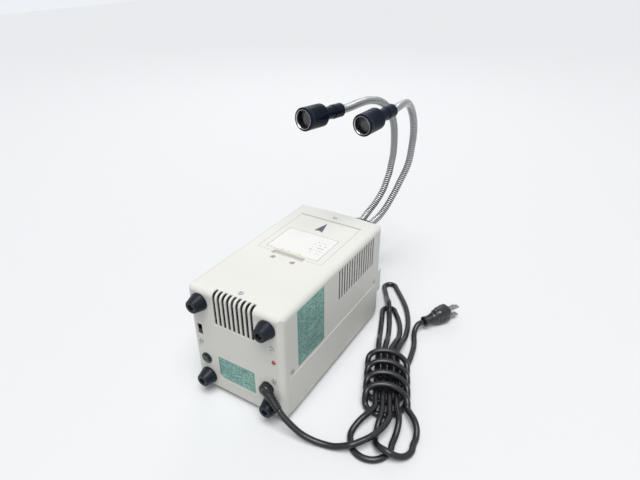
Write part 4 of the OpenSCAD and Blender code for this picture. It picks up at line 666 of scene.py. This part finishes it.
# painted shade: the tone falls to near black with the depth in the groove
conduit.paint(Base_Color=conduit.mixed(conduit.spanned(groove, 0.12, 0.55), conduit.tone, (0.03, 0.03, 0.034)),
              Roughness=conduit.spanned(groove, 0.15, 0.8, 0.2, 0.55))
print("conduit reads the groove's depth from", len(conduit.tree.nodes), "nodes")

# %% [markdown]
# ## Printed plates
# The two foil labels are green metal foil. Their words are left off. What stays is the look of small print seen from
# a step away: rows of short dark dashes of uneven length between ruled lines. Each dash is one cell of a grid, and
# a random number per cell says whether it holds ink.


# %% Foil labels
def dashes(f, s, t, cell, row, tall=0.5, filled=0.45):
    """Rows of dashes over the plane (s, t): a cell is `cell` wide and `row` high, a random number for it is above
    1 - filled where there is ink, and ink covers the share `tall` of the row's height."""
    column, line = (f.number("FLOOR", f.number("DIVIDE", v, size)) for v, size in ((s, cell), (t, row)))
    place_of = f.add("CombineXYZ", {0: column, 1: line})
    chance = f.add("TexWhiteNoise", {"Vector": place_of}, out="Value", noise_dimensions="2D")
    inked = f.number("GREATER_THAN", chance, 1 - filled)
    level = f.number("ABSOLUTE", f.number("WRAP", t, row / 2, -row / 2))
    return f.number("MULTIPLY", inked, f.number("GREATER_THAN", level, row * (0.5 - tall / 2)))


def printed_foil(name, node, across, row, columns, cut=0.0, ink=(0.018, 0.075, 0.075)):
    """Foil label on a node's box. Let s run over the label's width and t over its height, both in metres from its
    lower corner. Ink lies in dashes, on every fourth row line, on the column lines and on a frame line 1.2 mm
    inside the edge. Where s + t counted from the lower outer corner is under `cut`, the case shows instead."""
    low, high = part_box(node)
    f = brushed(name, (0.25, 0.49, 0.42), 0.36, along=(0.2, 0.2, 1), pitch=1300)
    f.out["Metallic"].default_value = 0.35
    x, y, z = f.axes()
    s = f.number("SUBTRACT", (x, y)[across], float(low[across]))
    t = f.number("SUBTRACT", z, float(low[2]))
    width, height = float(high[across] - low[across]), float(high[2] - low[2])
    s_in = f.number("COMPARE", s, width / 2, width / 2 - 0.0012)
    t_in = f.number("COMPARE", t, height / 2, height / 2 - 0.0012)
    inner = f.number("MULTIPLY", s_in, t_in)
    frame_s = f.number("COMPARE", f.number("PINGPONG", s, width / 2), 0.0012, 0.0002)
    frame_t = f.number("COMPARE", f.number("PINGPONG", t, height / 2), 0.0012, 0.0002)
    edge = f.number("MAXIMUM", f.number("MULTIPLY", frame_s, t_in), f.number("MULTIPLY", frame_t, s_in))
    rules = f.number("COMPARE", f.number("WRAP", t, row * 2, -row * 2), 0.0, 0.00014)
    posts = f.number("COMPARE", f.number("WRAP", s, width / columns / 2, -width / columns / 2), 0.0, 0.00014)
    small = f.number("MULTIPLY", dashes(f, s, t, 0.0013, row), 0.8)
    inside = f.number("MULTIPLY", f.number("MAXIMUM", f.number("MAXIMUM", rules, posts), small), inner)
    marked(f, f.spanned(f.noise(60, 3), 0.35, 0.7), (0.42, 0.62, 0.58), 0.4)
    marked(f, f.number("MAXIMUM", edge, inside), ink)
    if cut:
        corner = f.number("LESS_THAN", f.number("ADD", f.number("SUBTRACT", width, s), t), cut)
        marked(f, corner, ivory, 1.0)
    return f


side_foil = printed_foil("foil_green_side", "side_label", 1, 0.0026, 3)
rear_foil = printed_foil("foil_green_rear", "rear_label", 0, 0.0022, 4, cut=0.005)
print("foil labels", len(side_foil.tree.nodes), "and", len(rear_foil.tree.nodes), "nodes")


# %% Chart plate
def ruled_chart():
    """White plate with a fine black frame 0.8 mm inside its edge, faint rules, a block and a line of small dashes,
    and broken ochre dashes along the edge by the finger recess."""
    low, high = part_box("lamp_chart_plate")
    f = moulded("chart_white", (0.82, 0.82, 0.79), 0.38, grain=0.0006, depth=0.000005, drift=0.02)
    x, y, _ = f.axes()
    u, v = f.number("SUBTRACT", x, float(low[0])), f.number("SUBTRACT", y, float(low[1]))
    width, depth = float(high[0] - low[0]), float(high[1] - low[1])
    u_in = f.number("COMPARE", u, width / 2, width / 2 - 0.0007)
    v_in = f.number("COMPARE", v, depth / 2, depth / 2 - 0.0007)
    edge_u = f.number("COMPARE", f.number("PINGPONG", u, width / 2), 0.0009, 0.00024)
    edge_v = f.number("COMPARE", f.number("PINGPONG", v, depth / 2), 0.0009, 0.00024)
    edge = f.number("MAXIMUM", f.number("MULTIPLY", edge_u, v_in), f.number("MULTIPLY", edge_v, u_in))
    rule = f.number("COMPARE", f.number("WRAP", v, 0.003, -0.003), 0.0, 0.0001)
    short = f.number("COMPARE", u, width * 0.5, width * 0.42)
    marked(f, f.number("MULTIPLY", f.number("MULTIPLY", rule, short), v_in), (0.40, 0.41, 0.42), 0.4)
    block = f.number("MULTIPLY", f.number("COMPARE", u, width * 0.2, width * 0.12), f.number("COMPARE", v, depth / 2,
                     depth * 0.33))
    head_line = f.number("MULTIPLY", f.number("COMPARE", u, width * 0.55, width * 0.28),
                         f.number("COMPARE", v, 0.0032, 0.001))
    small = dashes(f, u, v, 0.0014, 0.006, tall=0.2, filled=0.5)
    marked(f, f.number("MULTIPLY", small, block), (0.05, 0.07, 0.09), 0.6)
    marked(f, f.number("MULTIPLY", dashes(f, u, v, 0.0016, 0.0032, tall=0.4, filled=0.5), head_line),
           (0.05, 0.07, 0.09), 0.7)
    ochre = f.number("MULTIPLY", f.number("COMPARE", v, depth - 0.0034, 0.0013), short)
    marked(f, ochre, (0.80, 0.77, 0.48), 0.5)
    marked(f, f.number("MULTIPLY", ochre, dashes(f, u, v, 0.003, 0.0026, filled=0.4)), (0.50, 0.42, 0.10), 0.8)
    return marked(f, edge, (0.03, 0.03, 0.03), 0.95)


chart = ruled_chart()
arrow = moulded("arrow_blue", (0.035, 0.055, 0.11), 0.4, grain=0.0006, depth=0.000004, drift=0.2)
_, arrow_y, _ = arrow.axes()
marked(arrow, arrow.number("GREATER_THAN", arrow_y, -0.0602), (0.16, 0.10, 0.03), 0.7)
print("chart and arrow printed")

# %% [markdown]
# ## Lenses, glass and mirrors
# Clear pieces let light through, so their detail lies in the surface: fingerprints that dull the gloss in
# patches, facets in the reflector, and the fine cells of a cut fibre bundle. The two signal lenses are tinted
# plastic so deep that no light comes through, so a glossy moulded finish serves them.


# %% Clear glass
def clear(name, colour, roughness=0.04):
    """Transmitting material: colour times 0.94 to 1 by a slow noise, and smudges that add up to 0.12 roughness."""
    f = Finish(name, colour, roughness, transmission_weight=1.0, ior=1.49)
    smudge = f.noise(140, 4, rough=0.7)
    drift = f.noise(60, 2)
    f.paint(Base_Color=f.mixed(f.spanned(drift, 0.3, 0.7), shade(colour, 0.94), colour),
            Roughness=f.spanned(smudge, 0.45, 0.75, roughness, roughness + 0.12))
    return f


lens_glass = clear("lens_glass", (0.90, 0.95, 0.96), 0.02)
capsule_glass = clear("capsule_glass", (0.93, 0.95, 0.95), 0.05)
filter_glass = clear("filter_glass", (0.62, 0.86, 0.84), 0.02)
red_lens = moulded("lens_red", (0.38, 0.024, 0.012), 0.16, grain=0.0008, drift=0.2, coat_weight=0.5)
green_lens = moulded("lens_green", (0.03, 0.30, 0.09), 0.16, grain=0.0008, drift=0.2, coat_weight=0.5)
print("glasses and signal lenses")

# %% Fibre ends and reflector
bundle = Finish("fibre_ends", (0.45, 0.50, 0.50), 0.12, coat_weight=0.6)
strand = bundle.cells(2600)
bundle.paint(Base_Color=bundle.mixed(bundle.spanned(strand, 0.35, 0.6), (0.62, 0.68, 0.68), (0.03, 0.03, 0.03)),
             Roughness=bundle.spanned(bundle.noise(300, 3), 0.3, 0.7, 0.08, 0.25),
             Normal=bundle.raised(strand, 0.00002))
mirror = brushed("reflector_mirror", (0.84, 0.86, 0.90), 0.07, pitch=300)
facet = mirror.cells(260)
mirror.paint(Base_Color=mirror.mixed(mirror.spanned(mirror.noise(30, 2), 0.35, 0.65), (0.80, 0.86, 0.95),
             (0.92, 0.86, 0.78)), Normal=mirror.raised(facet, 0.00025))
ceramic = moulded("ceramic_white", (0.74, 0.71, 0.63), 0.6, grain=0.0007, depth=0.00004, drift=0.06)
marked(ceramic, ceramic.spanned(ceramic.noise(500, 2), 0.66, 0.7), (0.25, 0.2, 0.15), 0.6)
print("fibre ends, reflector and ceramic")

# %% [markdown]
# ## Inside
# The fan, the transformer and the board are seen through the door and the slots. A transformer core is a stack of
# thin plates, so its bump is a wave with the plates' thickness. The coil is wrapped tape, and the board shows
# copper tracks under green lacquer.

# %% Inside finishes
core = moulded("core_iron", (0.060, 0.058, 0.060), 0.4, grain=0.0012, drift=0.3, coat_weight=0.3)
plates = core.add("TexWave", {"Vector": core.here, "Scale": 320.0, "Distortion": 0.4}, out="Fac",
                  bands_direction="Y")
core.paint(Normal=core.raised(plates, 0.0002))
coil = moulded("coil_amber", (0.50, 0.27, 0.06), 0.28, grain=0.0012, drift=0.25, coat_weight=0.5)
wraps = coil.add("TexWave", {"Vector": coil.here, "Scale": 60.0, "Distortion": 0.8}, out="Fac",
                 bands_direction="Z")
coil.paint(Normal=coil.raised(wraps, 0.0003))
board = moulded("board_green", (0.012, 0.13, 0.055), 0.26, grain=0.0012, drift=0.15, coat_weight=0.4)
tracks = board.add("TexBrick", {"Vector": board.here, "Scale": 120.0, "Mortar Size": 0.05}, out="Fac")
marked(board, tracks, (0.05, 0.26, 0.10), 0.8)
parts = moulded("parts_dark", (0.05, 0.06, 0.09), 0.35, grain=0.0012, drift=0.4)
lumps = parts.add("TexVoronoi", {"Vector": parts.here, "Scale": 40.0}, out="Color")
parts.paint(Base_Color=parts.mixed(0.25, parts.tone, lumps, "MULTIPLY"))
print("inside finishes")

# %% [markdown]
# ## Dressing the frame
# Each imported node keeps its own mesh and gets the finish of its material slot. A few nodes share a slot but not a
# finish, as a lens and a lamp bulb are both glass, so they are named one by one.

# %% Dress the nodes
finishes = {
    "housing_ivory": house, "knob_ivory": knob, "foot_rubber": rubber, "cord_black": sheath,
    "fitting_black": fitting, "fan_black": fan_plastic, "cap_dark_green": cap_green,
    "branch_dark": branch, "screw_steel": screw_zinc, "hinge_steel": hinge_steel, "turned_aluminium": turned,
    "blade_nickel": nickel, "contact_metal": contact, "pot_zinc": zinc,
    "bracket_metal": sheet, "gooseneck_metal": conduit, "foil_green": side_foil, "chart_white": chart,
    "arrow_blue": arrow, "fibre_glass": lens_glass, "filter_glass": filter_glass, "lens_red": red_lens,
    "lens_green": green_lens, "reflector_mirror": mirror, "ceramic_white": ceramic, "core_iron": core,
    "coil_amber": coil, "board_green": board, "parts_dark": parts}
of_their_own = {"front_panel": front, "rear_label": rear_foil, "fibre_faces": bundle, "lamp_capsule": capsule_glass}
for key in heads:
    of_their_own.update({f"head_{key}_body": head_skins[key], f"head_{key}_barrel": head_skins[key],
                         f"head_{key}_rim": rim_skins[key]})
for part in frame["record"]["subparts"]:
    finish = of_their_own.get(part["node"]) or finishes[part["material_slot"]]
    dressed = nodes[part["node"]]
    if not dressed.material_slots:
        dressed.data.materials.append(finish.material)
    for holder in dressed.material_slots:
        holder.material = finish.material

# %% [markdown]
# The lead's tube, the plug's moulding and the two wound arms take the place of their plain solids.

# %% New pieces on the frame
lead_tube = grid_object("mains_lead", around(lead_line, CORD_DIAMETER / 2, 16))
place(lead_tube, "lamp_house", sheath.material)
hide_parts("mains_cord", "cord_hank", "cord_tail")
place(plug_skin, "lamp_house", grip_rubber.material)
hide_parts("plug_body")
for name, route in (("gooseneck_a", neck_a_route), ("gooseneck_b", neck_b_route)):
    arm = gooseneck(name + "_wound", route, ARM_CREST, ARM_VALLEY, ARM_PITCH)
    place(arm, "light_guide", conduit.material)
    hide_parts(name)

# %% [markdown]
# ## Floor, light and world
# The floor is plain pale paper. It throws less light back at the case than it shows to the camera: the light path
# picks a paler paper for camera, glossy and transmission rays, so the sides of the case stay readable and the
# metal still mirrors a pale room. One far soft light comes from above the rear, and two small boxes add gloss.


# %% Floor
def seen_directly(tree):
    """1 for camera, glossy and transmission rays, 0 for the light that reaches other surfaces."""
    path = tree.nodes.new("ShaderNodeLightPath")
    first = tree.nodes.new("ShaderNodeMath")
    second = tree.nodes.new("ShaderNodeMath")
    first.operation = second.operation = "MAXIMUM"
    tree.links.new(path.outputs["Is Camera Ray"], first.inputs[0])
    tree.links.new(path.outputs["Is Glossy Ray"], first.inputs[1])
    tree.links.new(first.outputs[0], second.inputs[0])
    tree.links.new(path.outputs["Is Transmission Ray"], second.inputs[1])
    return second.outputs[0]


floor_mesh = bpy.data.meshes.new("floor")
floor_mesh.from_pydata([(-4, -6, 0), (4, -6, 0), (4, 3, 0), (-4, 3, 0)], [], [(0, 1, 2, 3)])
floor = bpy.data.objects.new("floor", floor_mesh)
scene.collection.objects.link(floor)
paper = Finish("floor_paper", (0.78, 0.79, 0.80), 0.9)
paper.paint(Base_Color=paper.mixed(seen_directly(paper.tree), (0.44, 0.45, 0.45), (0.80, 0.81, 0.82)))
floor.data.materials.append(paper.material)
print("floor of", tuple(round(side, 1) for side in floor.dimensions), "m")


# %% Lamps and world
def aimed(data, place_at, aim):
    """Put a light at a place, turned so that it shines at the aim."""
    lamp = bpy.data.objects.new(data.name, data)
    direction = Vector(aim) - Vector(place_at)
    lamp.matrix_world = Matrix.Translation(place_at) @ direction.to_track_quat("-Z", "Y").to_matrix().to_4x4()
    scene.collection.objects.link(lamp)


def sky_light(name, place_at, spread, strength):
    """A far light, so the whole floor gets the same. Its spread in degrees softens the shadows' edges."""
    data = bpy.data.lights.new(name, "SUN")
    data.energy, data.angle = strength, math.radians(spread)
    aimed(data, place_at, (0, 0, 0))


def soft_box(name, place_at, aim, size, watts):
    """A square area light, which shows as a bright square in glossy surfaces."""
    data = bpy.data.lights.new(name, "AREA")
    data.energy, data.size = watts, size
    aimed(data, place_at, aim)


LIT_LEVEL, SEEN_LEVEL = 0.27, 0.92
sky_light("overhead", (-0.18, 0.27, 1.0), 40, 2.45)
soft_box("rear_box", (-0.7, 0.9, 1.1), (0, 0, 0.1), 0.5, 2.5)
soft_box("front_box", (0.7, -1.2, 1.3), (0, 0, 0.15), 0.8, 3)
world = bpy.data.worlds.new("studio")
scene.world = world
world.use_nodes = True
sky = world.node_tree.nodes["Background"]
sky.inputs[0].default_value = (0.93, 0.96, 1.0, 1)
level = world.node_tree.nodes.new("ShaderNodeMapRange")
world.node_tree.links.new(seen_directly(world.node_tree), level.inputs["Value"])
level.inputs["To Min"].default_value = LIT_LEVEL
level.inputs["To Max"].default_value = SEEN_LEVEL
world.node_tree.links.new(level.outputs[0], sky.inputs[1])
scene.view_settings.view_transform = "Standard"
